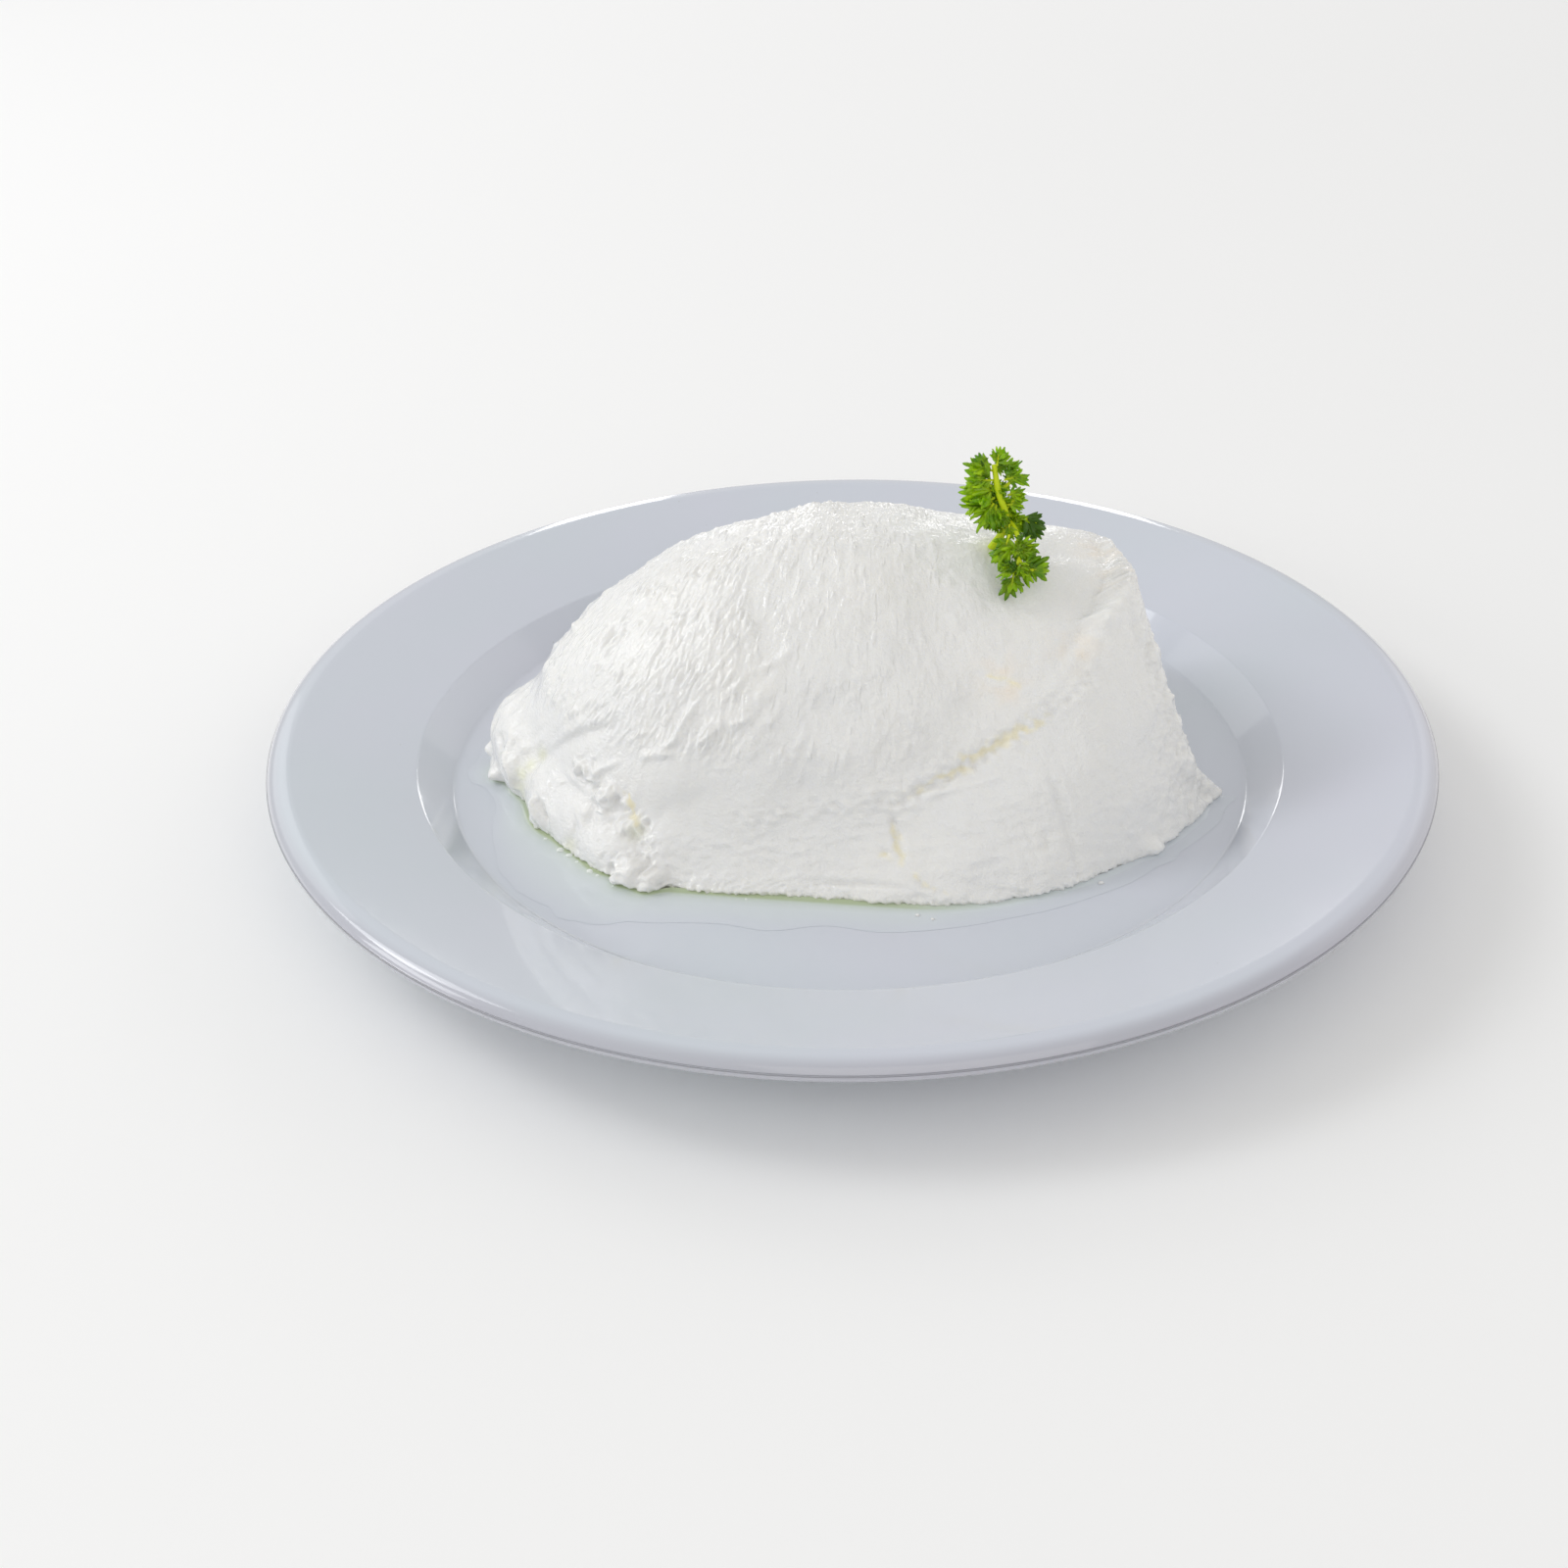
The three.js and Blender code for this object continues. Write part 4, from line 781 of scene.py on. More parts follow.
def make_plate():
    bm = bmesh.new()
    verts = [bm.verts.new(place) for place in plate_outline()]
    edges = [bm.edges.new(pair) for pair in zip(verts, verts[1:])]
    bmesh.ops.spin(bm, geom=verts + edges, cent=(0, 0, 0), axis=(0, 0, 1), angle=2 * math.pi,
                   steps=PLATE_STEPS, use_merge=True)
    bmesh.ops.remove_doubles(bm, verts=bm.verts, dist=0.001)
    bmesh.ops.recalc_face_normals(bm, faces=bm.faces)
    for face in bm.faces:
        if all(vert.co.z < BARE_HEIGHT for vert in face.verts):
            face.material_index = 1
    finishes = [glaze_material(), bare_clay_material()]
    piece_from(bm, "glazed_plate", "glaze", 0, finishes, "plate")


# ======== Yogurt ========
def soft_min(a, b, blend):
    """The lesser of two distances, with the corner between them rounded off over the blend."""
    share = np.clip(0.5 + 0.5 * (b - a) / blend, 0, 1)
    return b + (a - b) * share - blend * share * (1 - share)


def soft_max(a, b, blend):
    return -soft_min(-a, -b, blend)


def dome_distance(x, y, z):
    cosine, sine = math.cos(DOME["turn"]), math.sin(DOME["turn"])
    dx = (x - DOME["x"]) * cosine + y * sine
    dy = y * cosine - (x - DOME["x"]) * sine
    length = np.where(dx < 0, DOME["left"], DOME["right"])
    depth = np.where(dy < 0, DOME["front"], DOME["back"])
    height = DOME["height"] - DOME["droop"] * smooth_share(x, 0, DOME["droop_length"])
    u, v, w = np.abs(dx) / length, np.abs(dy) / depth, z / height
    n = DOME["squareness"]
    plan = (u ** n + v ** n + 1e-12) ** (1 / n)
    level = np.hypot(plan, w) + 1e-9
    slope_u = plan ** (2 - n) * u ** (n - 1) / length
    slope_v = plan ** (2 - n) * v ** (n - 1) / depth
    return (level - 1) * level / np.sqrt(slope_u ** 2 + slope_v ** 2 + (w / height) ** 2 + 1e-12)


def lump_distance(places, at, size):
    share = (places - np.array(at)) / np.array(size)
    level = np.sqrt((share ** 2).sum(axis=1)) + 1e-9
    slope = np.sqrt(((share / np.array(size)) ** 2).sum(axis=1) + 1e-12)
    return (level - 1) * level / slope


def slope_distance(x, y, z, start, end, degrees):
    along = unit((end[0] - start[0], end[1] - start[1]))
    outside = (x - start[0]) * along[1] - (y - start[1]) * along[0]
    angle = math.radians(degrees)
    return outside * math.sin(angle) + z * math.cos(angle)


def flake_lumps():
    """Flakes along the torn edge, by the same draw as in the solid."""
    state = DRAW_START
    draws = []
    for _ in range(3 * FLAKE_COUNT):
        state = (state * DRAW_FACTOR + DRAW_STEP) % DRAW_RANGE
        draws.append(state / DRAW_RANGE)
    flakes = []
    for i in range(FLAKE_COUNT):
        share = i / (FLAKE_COUNT - 1)
        at = [top + (foot - top) * share for top, foot in zip(FLAKE_TOP, FLAKE_FOOT)]
        scale = FLAKE_LEAST_SCALE + FLAKE_MORE_SCALE * draws[3 * i]
        at[0] += FLAKE_SHIFT_X * (draws[3 * i + 1] - 0.5)
        at[1] += FLAKE_SHIFT_Y * (draws[3 * i + 2] - 0.5)
        flakes.append((at, [scale * size for size in FLAKE_SIZE], FLAKE_BLEND))
    return flakes


ALL_LUMPS = TONGUE + LEFT_LOBES + OTHER_LUMPS + flake_lumps()


def wall_distance(x, y, z):
    radius = TUB_WALL["radius"] - z * math.tan(TUB_WALL["draft"])
    return (np.hypot(x - TUB_WALL["x"], y - TUB_WALL["y"]) - radius) * math.cos(TUB_WALL["draft"])


def end_distance(x, y, z):
    beyond = (x - TORN_END["x"]) * TORN_END["normal"][0] + (y - TORN_END["y"]) * TORN_END["normal"][1]
    return beyond * math.cos(TORN_END["lean"]) + (z - TORN_END["z"]) * math.sin(TORN_END["lean"])


def scoop_distance(x, y, z):
    top = z - (TOP_PLANE["height"] - TOP_PLANE["fall"] * (x - TOP_PLANE["x"]))
    dome = soft_max(dome_distance(x, y, z), top, TOP_BLEND)
    dome = soft_max(dome, wall_distance(x, y, z), CUT_BLEND)
    return soft_max(dome, end_distance(x, y, z), CUT_BLEND)


def skirt_distance(x, y, z):
    skirt = slope_distance(x, y, z, *SKIRT_FRONT)
    for slope, blend in SKIRT_SIDES:
        skirt = soft_max(skirt, slope_distance(x, y, z, *slope), blend)
    left_end = (SKIRT_LEFT_END["x"] - x) * SKIRT_LEFT_END["across"] + z * SKIRT_LEFT_END["up"]
    bounds = [(wall_distance(x, y, z) - SKIRT_PROUD, 1), (end_distance(x, y, z), 1), (left_end, 2),
              (z - np.interp(x, *SKIRT_TOP), 2), (y - SKIRT_BACK, 3)]
    for bound, blend in bounds:
        skirt = soft_max(skirt, bound, blend)
    return skirt


def mound_distance(places):
    """Roughly how far each place lies outside the yogurt, negative inside."""
    x, y, z = places.T
    join = np.interp(x, *SKIRT_JOIN)
    distance = soft_min(scoop_distance(x, y, z), skirt_distance(x, y, z), join)
    for at, size, blend in ALL_LUMPS:
        distance = soft_min(distance, lump_distance(places, at, size), blend)
    for line, thickness in CORNER:
        from_line, along = line_distance(places, line)
        distance = soft_min(distance, from_line - thickness * (1 - along) - CORNER_TIP, CORNER_BLEND)
    for line, depth, width in FOLDS:
        distance = distance + fold_height(places, line, depth, width)
    return distance


def on_the_mound(places):
    """Moves each place along its ray from the centre to the outermost surface point."""
    ways = unit(places - MOUND_CENTRE)
    outer = np.full(len(places), MOUND_REACH)
    inner = outer.copy()
    looking = np.arange(len(places))
    while len(looking):
        distance = mound_distance(MOUND_CENTRE + ways[looking] * inner[looking, None])
        looking = looking[distance > 0]
        distance = distance[distance > 0]
        outer[looking] = inner[looking]
        inner[looking] -= np.maximum(STEP_SHARE * distance, LEAST_STEP)
    for _ in range(SEARCH_HALVINGS):
        middle = (outer + inner) / 2
        outside = mound_distance(MOUND_CENTRE + ways * middle[:, None]) > 0
        outer = np.where(outside, middle, outer)
        inner = np.where(outside, inner, middle)
    return MOUND_CENTRE + ways * ((outer + inner) / 2)[:, None]


def flow_of(places):
    """Across, along and into the drag marks, in millimetres."""
    from_line = places - SWEEP_PLACE
    sideways, upwards = from_line @ VIEW_RIGHT, from_line @ VIEW_UP
    angle = np.arctan2(sideways, -upwards)
    return np.stack([angle * SWEEP_RADIUS, np.hypot(sideways, upwards), from_line @ VIEW_AHEAD], axis=1)


def nearest_lump(places, lumps):
    return np.min([lump_distance(places, at, size) for at, size, _ in lumps], axis=0)


def surface_masks(places):
    """Where each finish lies, from 0 to 1."""
    x, y, z = places.T
    side = places @ VIEW_RIGHT
    lobes = smooth_share(nearest_lump(places, LEFT_LOBES), 1.5, 0.0)
    on_skirt = smooth_share(scoop_distance(x, y, z) - skirt_distance(x, y, z), -0.2, 1.6)
    skirt = on_skirt * (1 - lobes)
    wall = smooth_share(np.abs(wall_distance(x, y, z)), 2.5, 0.8) * smooth_share(x, 20, 34)
    end = smooth_share(np.abs(end_distance(x, y, z)), 8.0, 1.0)
    tongue = smooth_share(nearest_lump(places, TONGUE[:2]), 2.0, 0.5) * smooth_share(z, 24, 12)
    centre = smooth_share(side, -22, 5) * smooth_share(side, 46, 20)
    return {
        "all": np.ones(len(places)),
        "skirt": skirt,
        "smears": skirt * smooth_share(z, 26, 8),
        "crumbly": skirt * smooth_share(x, 8, -14) * smooth_share(z, 15, 8),
        "crease": fading(line_distance(places, CREASE[1:6])[0], 2.2),
        "lobes": lobes,
        "clusters": smooth_share(nearest_lump(places, LEFT_LOBES[3:]), 1.6, 0.4),
        "tongue": tongue * (1 - lobes),
        "ripples": smooth_share(side, 42, -6) * smooth_share(z, 14, 24) * (1 - on_skirt) * (1 - lobes),
        "smooth": centre * (1 - on_skirt) * (1 - wall),
        "wall": wall * (1 - end),
        "end": end,
        "back": smooth_share(y, 8, 24),
    }


def refined(bm, boxes):
    """Halves every edge whose ends both lie in the boxes."""
    places = corners_of(bm)
    inside = [((places > low) & (places < high)).all(axis=1) for low, high in boxes]
    wanted = np.any(inside, axis=0).tolist()
    bm.verts.index_update()
    edges = [edge for edge in bm.edges if all(wanted[vert.index] for vert in edge.verts)]
    bmesh.ops.subdivide_edges(bm, edges=edges, cuts=1, use_grid_fill=True)
    bmesh.ops.triangulate(bm, faces=[face for face in bm.faces if len(face.verts) > 3])


def mound_blank():
    """Half a stretched ball, open below, laid on the mound's form and then made finer where it shows."""
    bm = bmesh.new()
    bmesh.ops.create_icosphere(bm, subdivisions=MOUND_HALVINGS, radius=1)
    bmesh.ops.bisect_plane(bm, geom=bm.verts[:] + bm.edges[:] + bm.faces[:], dist=1e-4,
                           plane_co=(0, 0, 0), plane_no=(0, 0, -1), clear_outer=True)
    bmesh.ops.triangulate(bm, faces=bm.faces)
    bmesh.ops.scale(bm, verts=bm.verts, vec=MOUND_START)
    bmesh.ops.translate(bm, verts=bm.verts, vec=MOUND_CENTRE)
    move_corners(bm, on_the_mound(corners_of(bm)))
    for boxes in FINER_BOXES:
        refined(bm, boxes)
    move_corners(bm, on_the_mound(corners_of(bm)))
    return bm


def drag_marks(flow, ripples):
    """Short raised streaks, each started at a corner of the mesh and drawn out along the flow."""
    draw = np.random.default_rng(MARK_SEED)
    starts = draw.choice(len(flow), MARK_COUNT, p=ripples / ripples.sum())
    height = np.zeros(len(flow))
    for start in starts:
        length = draw.uniform(*MARK_LENGTH)
        width = draw.uniform(*MARK_WIDTH)
        lean = draw.uniform(-MARK_LEAN, MARK_LEAN)
        rise = MARK_LEAST_RISE + MARK_MORE_RISE * draw.uniform(0, 1) ** 2
        across, along, deep = (flow - flow[start]).T
        near = np.flatnonzero((np.abs(along) < length) & (np.abs(across) < MARK_REACH_ACROSS)
                              & (np.abs(deep) < MARK_REACH_DEEP))
        share = along[near] / length
        off_line = across[near] - lean * along[near] + MARK_BEND * share ** 2
        mark = rise * (1 - share ** 2) ** 1.5 * fading(off_line, width)
        height[near] = np.maximum(height[near], mark)
    return height


def surface_relief(places, masks):
    """How far the finished surface stands above the plain form, in millimetres."""
    flow = flow_of(places)
    dragged = 0.03 * field(flow / (1.2, 5.0, 3.0), 24) + drag_marks(flow, masks["ripples"])
    relief = masks["ripples"] * (0.8 + 0.25 * field(places / 9, 5)) * dragged
    relief += (1 - masks["ripples"]) * (1 - masks["skirt"]) * 0.03 * field(flow / (1.8, 7, 4), 6)
    relief += masks["crumbly"] * 0.24 * np.maximum(ridges(places / (3.2, 2.0, 1.8), 28), 0)
    around = np.arctan2(places[:, 1] - TUB_WALL["y"], places[:, 0] - TUB_WALL["x"]) * TUB_WALL["radius"]
    striations = field(np.stack([around / 1.5, places[:, 2] / 16], axis=1), 12)
    relief += masks["wall"] * 0.045 * striations
    for where, height, waves, seed in ROUND_RELIEF:
        relief += masks[where] * height * field(places / waves, seed)
    for where, height, waves, seed in RIDGED_RELIEF:
        relief += masks[where] * height * ridges(places / waves, seed)
    for where, depth in SUNK.items():
        relief -= masks[where] * depth
    for line, depth, width in FINE_FOLDS:
        relief -= fold_height(places, line, depth, width)
    for at, radius, height in KNOBS:
        relief += height * fading(distance_to(places, at), radius)
    return relief


def foot_shape(places, normals):
    """Pulls the foot in under itself and frays its line."""
    z = places[:, 2]
    outwards = normals * (1, 1, 0)
    outwards /= np.linalg.norm(outwards, axis=1, keepdims=True) + 1e-6
    tuck = -FOOT_TUCK * smooth_share(z, 1.5, 0.0) ** 2
    fray = 0.20 * field(places / 8.0, 18) + 0.16 * ridges(places / 2.6, 19)
    fray = fray * smooth_share(z, 2.6, 0.5) + 0.15 * field(places / 1.2, 22) * smooth_share(z, 1.8, 0.3)
    return outwards * (tuck + fray)[:, None]


def surface_tints(places):
    """Where the butterfat, the gathered whey with its painted shade, and the warmer patches show, from 0 to
    1.
    """
    butterfat, warm = np.zeros(len(places)), np.zeros(len(places))
    for line, width in BUTTERFAT:
        ragged = width * (0.75 + 0.45 * field(places / 2.2, 20))
        butterfat = np.maximum(butterfat, fading(line_distance(places, line)[0], np.maximum(ragged, 0.2)))
    # Whey and painted shade: a greenish tint along the left of the foot and in the hollows.
    whey_and_shade = smooth_share(places[:, 2], 1.5, 0.2) * 0.5 * smooth_share(places[:, 0], 30, 10)
    for at, radius in WHEY_AND_SHADE_HOLLOWS:
        whey_and_shade = np.maximum(whey_and_shade, 0.8 * fading(distance_to(places, at), radius))
    uneven = 0.55 + 0.45 * field(places / 4, 21)
    for at, radius in WARM_PATCHES:
        warm = np.maximum(warm, fading(distance_to(places, at), radius) * uneven)
    return {"butterfat": butterfat, "whey_and_shade": whey_and_shade, "warm": np.clip(warm, 0, 1)}


def make_yogurt():
    bm = mound_blank()
    places, normals = corners_of(bm), corner_normals(bm)
    masks = surface_masks(places)
    relief = surface_relief(places, masks) * smooth_share(places[:, 2], -0.2, 1.2)
    finished = places + normals * relief[:, None] + foot_shape(places, normals)
    grounded = places[:, 2] < 0.01
    finished[:, 2] = np.where(grounded, 0.0, np.maximum(finished[:, 2], 0.02))
    move_corners(bm, finished)
    rim = [edge for edge in bm.edges if edge.is_boundary]
    base = bmesh.ops.edgeloop_fill(bm, edges=rim)["faces"]
    bmesh.ops.poke(bm, faces=base)
    bmesh.ops.recalc_face_normals(bm, faces=bm.faces)
    piece = piece_from(bm, "strained_yogurt", "yogurt", WELL_FLOOR, [yogurt_material()], "yogurt")
    attributes = surface_tints(places)
    attributes["flow"] = flow_of(places) / MARK_FLOW
    attributes["ripples"] = masks["ripples"]
    for name, values in attributes.items():
        under = np.zeros((len(piece.data.vertices) - len(places),) + values.shape[1:])
        set_attribute(piece, name, np.concatenate([values, under]))
    return piece


# ======== Parsley ========
def kind_of(items, kind):
    return [item for item in items if isinstance(item, kind)]


def add_tube(bm, line, radius, sides, end_share):
    """Sweeps a round section along a smoothed line, closed at both ends."""
    points = [Vector(place) for place in line]
    for _ in range(2):
        finer = [points[0]]
        for start, end in zip(points, points[1:]):
            finer += [start.lerp(end, 0.25), start.lerp(end, 0.75)]
        points = finer + [points[-1]]
    frames = []
    for i, point in enumerate(points):
        ahead = points[min(i + 1, len(points) - 1)] - points[max(i - 1, 0)]
        taper = 1 + (end_share - 1) * i / (len(points) - 1)
        turn = ahead.to_track_quat("Z", "Y").to_matrix().to_4x4()
        frames.append(Matrix.Translation(point) @ turn @ Matrix.Diagonal((taper, taper, taper, 1)))
    ring = bmesh.ops.create_circle(bm, segments=sides, radius=radius, matrix=frames[0])["verts"]
    edges = list({edge for vert in ring for edge in vert.link_edges})
    bmesh.ops.edgeloop_fill(bm, edges=edges)
    for before, after in zip(frames, frames[1:]):
        extruded = bmesh.ops.extrude_edge_only(bm, edges=edges)["geom"]
        edges = kind_of(extruded, bmesh.types.BMEdge)
        bmesh.ops.transform(bm, matrix=after @ before.inverted(), verts=kind_of(extruded, bmesh.types.BMVert))
    bmesh.ops.edgeloop_fill(bm, edges=edges)


def make_stems():
    bm = bmesh.new()
    add_tube(bm, STEM_LINE, STEM_RADIUS, STEM_SIDES, STEM_END)
    for line, radius in STALKS:
        add_tube(bm, line, radius, STALK_SIDES, STALK_END)
    for foot, tip, _, _ in LEAFLETS:
        rib = [Vector(foot).lerp(Vector(tip), share) for share in (0, 0.25, 0.6)]
        add_tube(bm, rib, RIB_RADIUS, RIB_SIDES, RIB_END)
    bmesh.ops.recalc_face_normals(bm, faces=bm.faces)
    piece_from(bm, "parsley_stems", "parsley", WELL_FLOOR, [stem_material()], "parsley_sprig")


def add_blade(bm, layer, root, along, normal, length, half_fan, draw, shade):
    """One blade cut into pointed fingers that curl each their own way, from a grid."""
    across = np.cross(along, normal)
    steps = FINGERS * FINGER_STEPS
    grid = bmesh.ops.create_grid(bm, x_segments=steps, y_segments=BLADE_STEPS, size=1)["verts"]
    bends = draw.uniform(*FINGER_BEND, FINGERS)
    lengths = draw.uniform(*FINGER_LENGTH, FINGERS)
    curl = draw.uniform(*BLADE_CURL)
    cup = draw.uniform(*BLADE_CUP)
    for vert in grid:
        share, out = vert.co.x, (vert.co.y + 1) / 2
        place = min((share + 1) / 2 * FINGERS, FINGERS - 1e-6)
        finger = int(place)
        middle = 1 - abs(2 * (place - finger) - 1)
        point = 1 - (1 - middle) ** 1.5
        reach = length * lengths[finger] * (1 - FINGER_CUT * (1 - point) - 0.16 * share ** 2)
        angle = share * half_fan
        radius = reach * out
        lift = length * (curl * 0.5 * out ** 2 + bends[finger] * max(0, out - 0.45) ** 1.5 * middle * 2.2
                         - cup * 0.5 * math.sin(angle) ** 2 * out + 0.07 * (middle - 0.5) * out)
        vert.co = (root + along * (radius * math.cos(angle)) + across * (radius * math.sin(angle))
                   + normal * lift)
        # The third value is the blade's painted shade.
        vert[layer] = (share, out, shade)


def filler_leaflets(draw):
    """Small leaflets in random places behind the upper stem and round the lower stalk."""
    fillers = []
    upper, lower = STEM_LINE[4:], STALKS[0][0]
    for number in range(FILLER_COUNT):
        line = lower if number % 5 == 0 else upper
        step = int(draw.integers(len(line) - 1))
        start, end = np.array(line[step]), np.array(line[step + 1])
        nearest, farthest, aside = FILLERS_BELOW if line is lower else FILLERS_ABOVE
        behind = draw.uniform(nearest, farthest)
        foot = start + (end - start) * draw.uniform(0, 1) + VIEW_AHEAD * behind
        foot = foot + VIEW_RIGHT * draw.uniform(-aside, aside)
        turn = draw.uniform(0, 2 * math.pi)
        way = VIEW_RIGHT * math.cos(turn) + VIEW_UP * math.sin(turn) - VIEW_AHEAD * draw.uniform(0.0, 0.5)
        tip = foot + unit(way) * draw.uniform(*FILLER_LENGTH)
        fillers.append((foot, tip, FILLER_FAN, draw.uniform(*FILLER_PAINTED_SHADE)))
    return fillers


def make_leaves():
    bm = bmesh.new()
    layer = bm.verts.layers.float_vector.new("blade")
    draw = np.random.default_rng(LEAF_SEED)
    for foot, tip, fan, shade in LEAFLETS + filler_leaflets(draw):
        start = np.array(foot)
        along = np.array(tip) - start
        length = np.linalg.norm(along)
        along = along / length
        face = -VIEW_AHEAD + LEAF_TILT * draw.normal(size=3)
        normal = unit(face - np.dot(face, along) * along)
        across = np.cross(along, normal)
        for turn, share, size in BLADES:
            angle = math.radians(turn * fan + draw.uniform(*BLADE_SWING))
            way = along * math.cos(angle) + across * math.sin(angle)
            tilt = normal + LEAF_TILT * draw.normal(size=3)
            tilt = unit(tilt - np.dot(tilt, way) * way)
            root = start + along * length * share - VIEW_AHEAD * 0.15
            painted_shade = min(1.0, max(0.0, shade + draw.uniform(*BLADE_PAINTED_SHADE)))
            add_blade(bm, layer, root, way, tilt, length * size * draw.uniform(*BLADE_LENGTH),
                      math.radians(draw.uniform(*BLADE_FAN)), draw, painted_shade)
    bmesh.ops.remove_doubles(bm, verts=bm.verts, dist=0.003)
    bmesh.ops.solidify(bm, geom=bm.faces[:], thickness=LEAF_THICKNESS)
    piece_from(bm, "parsley_leaves", "parsley", WELL_FLOOR, [leaf_material()], "parsley_sprig")


# ======== Whey and crumbs ========
def round_ways(azimuths):
    return np.stack([np.cos(azimuths), np.sin(azimuths)], axis=1)


def foot_line(azimuths):
    """Points of the mound's foot, seen from its centre."""
    height = np.full((len(azimuths), 1), FOOT_RISE)
    return on_the_mound(MOUND_CENTRE + np.hstack([round_ways(azimuths), height]))


def make_whey():
    """A film of whey round the foot: a low ring, deepest against the yogurt and thin outside."""
    azimuths = np.linspace(0, 2 * math.pi, FILM_STEPS, endpoint=False)
    foot = foot_line(azimuths)
    ways = unit((foot - MOUND_CENTRE) * (1, 1, 0))
    degrees = np.degrees(azimuths)
    reach = np.interp(degrees, *WHEY_REACH) * (1 + 0.12 * field(round_ways(azimuths) * 2.5, FILM_SEED))
    amount = np.interp(degrees, *WHEY_AMOUNT)
    bm = bmesh.new()
    layer = bm.verts.layers.float.new("depth")
    verts = bmesh.ops.create_circle(bm, segments=FILM_STEPS, radius=1)["verts"]
    order = sorted(verts, key=lambda vert: math.atan2(vert.co.y, vert.co.x) % (2 * math.pi))
    first_edges = edges = list({edge for vert in verts for edge in vert.link_edges})
    for number, (near, share, height, depth) in enumerate(FILM_ROWS):
        if number:
            extruded = bmesh.ops.extrude_edge_only(bm, edges=edges)["geom"]
            edges = kind_of(extruded, bmesh.types.BMEdge)
            fresh = set(kind_of(extruded, bmesh.types.BMVert))
            beside = [{edge.other_vert(vert) for edge in vert.link_edges} for vert in order]
            order = [(others & fresh).pop() for others in beside]
        for i, vert in enumerate(order):
            place = foot[i] + ways[i] * (near + share * reach[i])
            vert.co = (place[0], place[1], max(height * (0.5 + 0.5 * amount[i]), FILM_GAP))
            vert[layer] = depth * amount[i]
        if number in (0, len(FILM_ROWS) - 2, len(FILM_ROWS) - 1):
            for edge in edges:
                edge.smooth = False
    bmesh.ops.bridge_loops(bm, edges=first_edges + edges)
    bmesh.ops.recalc_face_normals(bm, faces=bm.faces)
    piece_from(bm, "whey_film", "yogurt", WELL_FLOOR, [whey_material()])


def add_bit(bm, x, y, size, flatness, draw):
    """A crumb or a drop that rests on the well floor."""
    verts = bmesh.ops.create_icosphere(bm, subdivisions=3, radius=1)["verts"]
    places = np.array([vert.co[:] for vert in verts])
    lumpy = 1 + BIT_LUMPS * draw.uniform(0, 1) * field(places * 0.5, int(draw.integers(1000)))
    stretch = np.array([size * draw.uniform(*BIT_STRETCH), size, size * flatness])
    for vert, place in zip(verts, (places * lumpy[:, None] * stretch).tolist()):
        vert.co = (x + place[0], y + place[1], FILM_GAP + max(place[2] + 0.5 * size * flatness, 0))


def drop_places():
    degrees, gaps, radii = np.array(DROPS).T
    azimuths = np.radians(degrees)
    spots = foot_line(azimuths)[:, :2] + round_ways(azimuths) * gaps[:, None]
    return [(x, y, radius) for (x, y), radius in zip(spots.tolist(), radii.tolist())]


def make_bits(name, slot, material, spots, flatness):
    bm = bmesh.new()
    draw = np.random.default_rng(BIT_SEED)
    for x, y, size in spots:
        add_bit(bm, x, y, size, flatness, draw)
    bmesh.ops.recalc_face_normals(bm, faces=bm.faces)
    piece_from(bm, name, slot, WELL_FLOOR, [material])


# ======== Stage ========
def make_stage():
    bm = bmesh.new()
    bmesh.ops.create_circle(bm, cap_ends=True, segments=FLOOR_STEPS, radius=FLOOR_RADIUS)
    mesh = bpy.data.meshes.new("floor")
    bm.to_mesh(mesh)
    bm.free()
    mesh.materials.append(floor_material())
    link("floor", mesh)


def add_softbox(name, place, size, power, colour, shape="RECTANGLE"):
    light = bpy.data.lights.new(name, "AREA")
    light.shape = shape
    light.size, light.size_y = size
    light.energy = power
    light.color = colour
    lamp = link(name, light)
    lamp.location = place
    lamp.rotation_euler = (Vector(LIT_PLACE) - Vector(place)).to_track_quat("-Z", "Y").to_euler()


def add_soft_edged(name, place, widths, height_share, power, colour):
    """Ellipses laid one in the other, so that the light fades towards its edge."""
    for width in widths:
        add_softbox(name, place, (width, height_share * width), power * width ** 2, colour, "ELLIPSE")


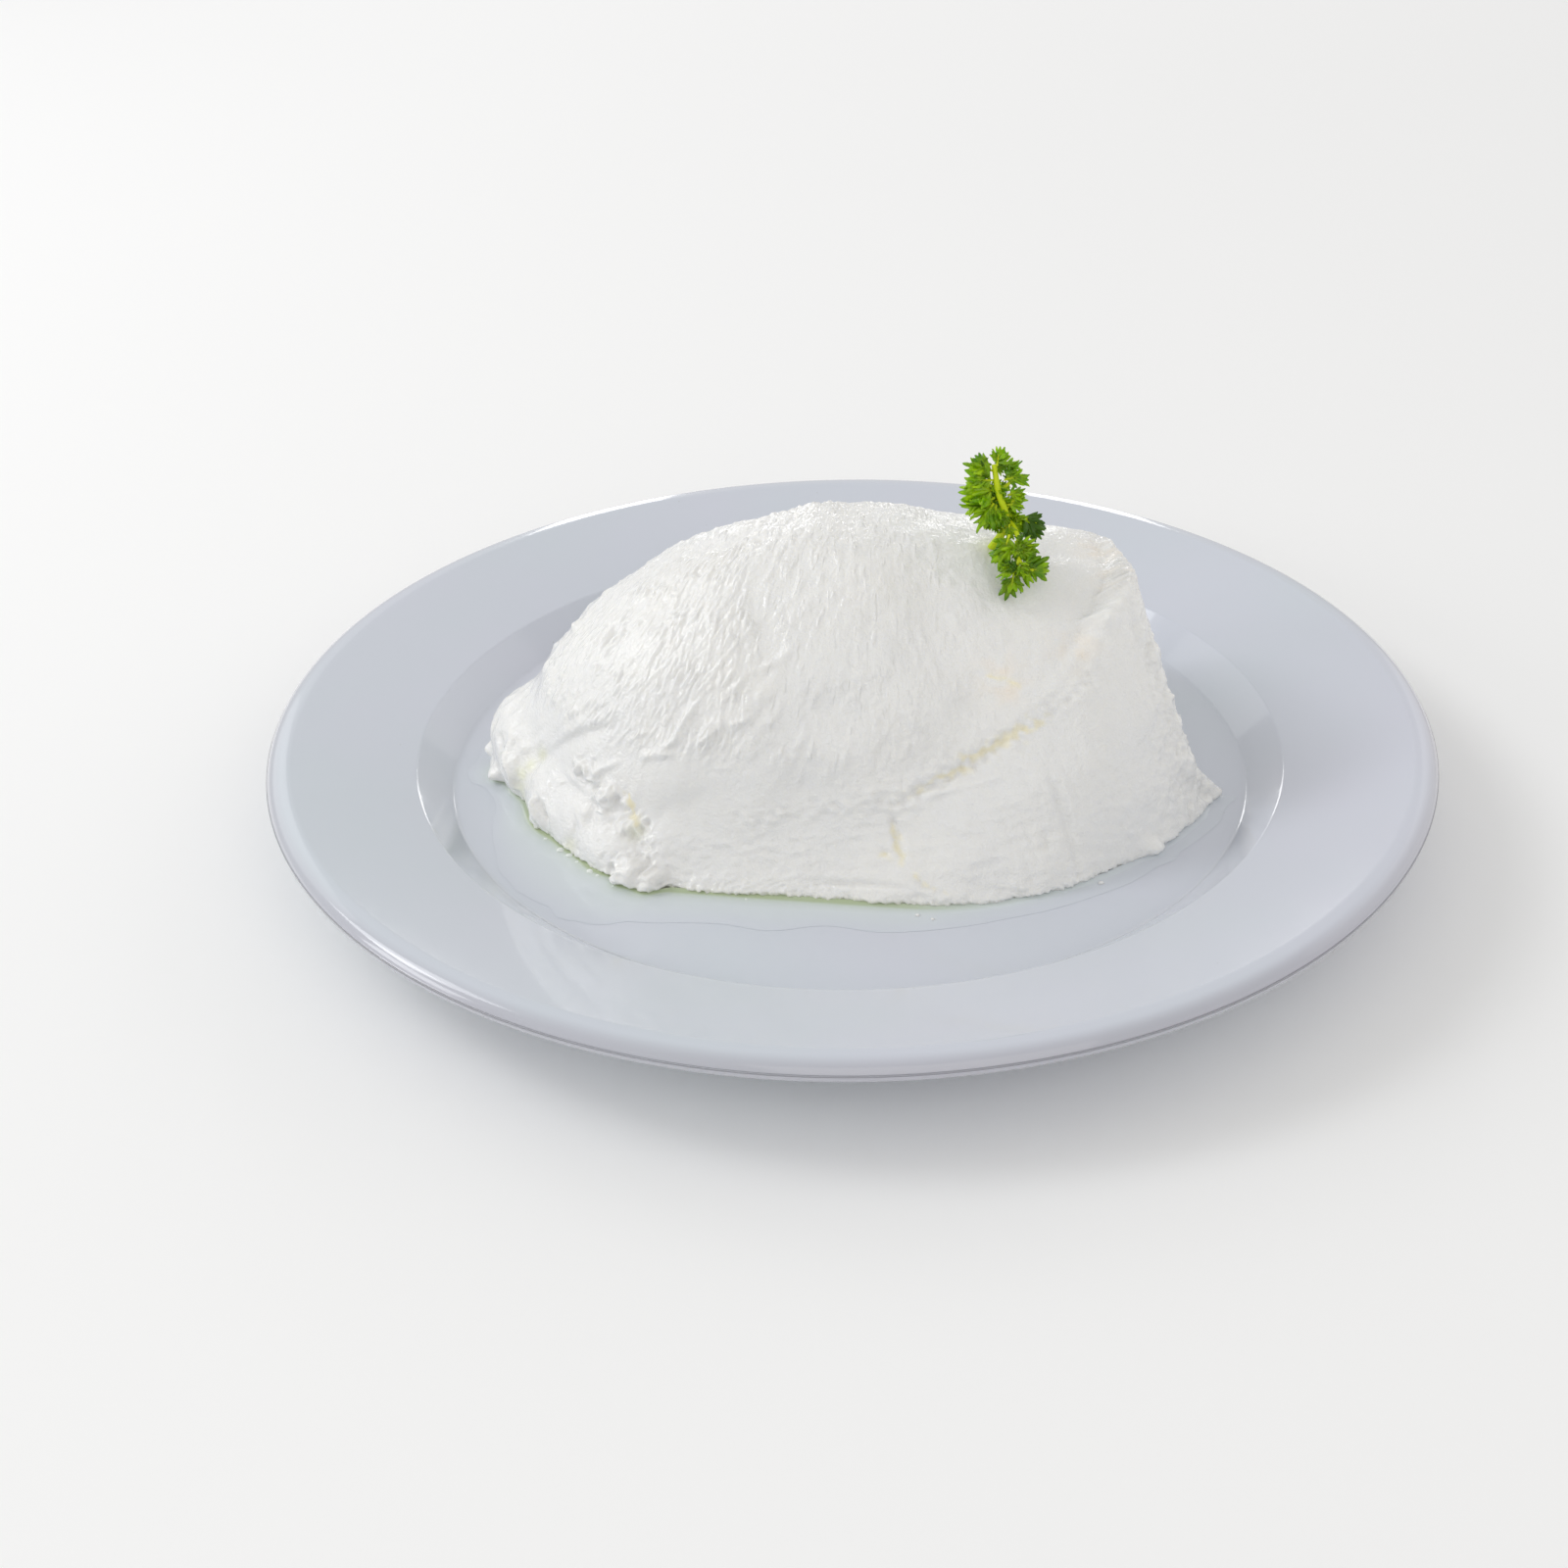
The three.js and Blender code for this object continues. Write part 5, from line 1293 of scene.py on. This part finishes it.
def make_lights():
    world = bpy.data.worlds.new("Soft room")
    world.use_nodes = True
    background = world.node_tree.nodes["Background"]
    background.inputs["Color"].default_value = ROOM_COLOUR
    background.inputs["Strength"].default_value = ROOM_STRENGTH
    bpy.context.scene.world = world
    add_softbox("Window at the left", (-1.0, 0.20, 0.95), (0.6, 0.55), 3.0, DAYLIGHT)
    add_softbox("Bright part of the window", (-0.98, 0.12, 0.80), (0.25, 0.25), 0.8, WHITE)
    add_softbox("Low window at the left", (-1.25, -0.2, 0.45), (0.5, 0.4), 2.1, DAYLIGHT)
    add_soft_edged("Far side of the window", (-0.83, 0.83, 0.65), (0.26, 0.42, 0.58, 0.74, 0.90), 0.7, 1.0,
                   DAYLIGHT)
    for x in (-0.24, 0.24):
        add_softbox("Narrow window behind", (x, 1.36, 0.28), (0.13, 0.42), 0.55, WHITE)
    add_soft_edged("Pale wall at the right", (1.05, 0.62, 0.50), (0.7, 1.2, 1.7), 0.6, 0.5, (1.0, 0.99, 0.97))
    add_softbox("Room in front", (0.3, -1.2, 0.8), (1.4, 1.0), 3.1, (1.0, 0.98, 0.94))


def make_camera():
    camera = bpy.data.cameras.new("Photograph")
    camera.lens = CAMERA_LENS
    camera.sensor_width = CAMERA_SENSOR
    camera.clip_start = CAMERA_NEAREST * MM
    eye = link("Photograph", camera)
    turn = (Matrix.Rotation(math.radians(CAMERA_YAW), 4, "Z")
            @ Matrix.Rotation(math.radians(90 - CAMERA_PITCH), 4, "X")
            @ Matrix.Rotation(math.radians(CAMERA_ROLL), 4, "Z"))
    eye.matrix_world = Matrix.Translation(Vector(CAMERA_PLACE) * MM) @ turn
    bpy.context.scene.camera = eye


def main():
    bpy.context.scene.view_settings.view_transform = "Standard"
    make_camera()
    make_lights()
    make_stage()
    make_plate()
    yogurt = make_yogurt()
    make_stems()
    make_leaves()
    make_whey()
    make_bits("yogurt_crumbs", "yogurt", yogurt.data.materials[0], CRUMBS, CRUMB_FLATNESS)
    make_bits("whey_drops", "yogurt", drop_material(), drop_places(), DROP_FLATNESS)


main()
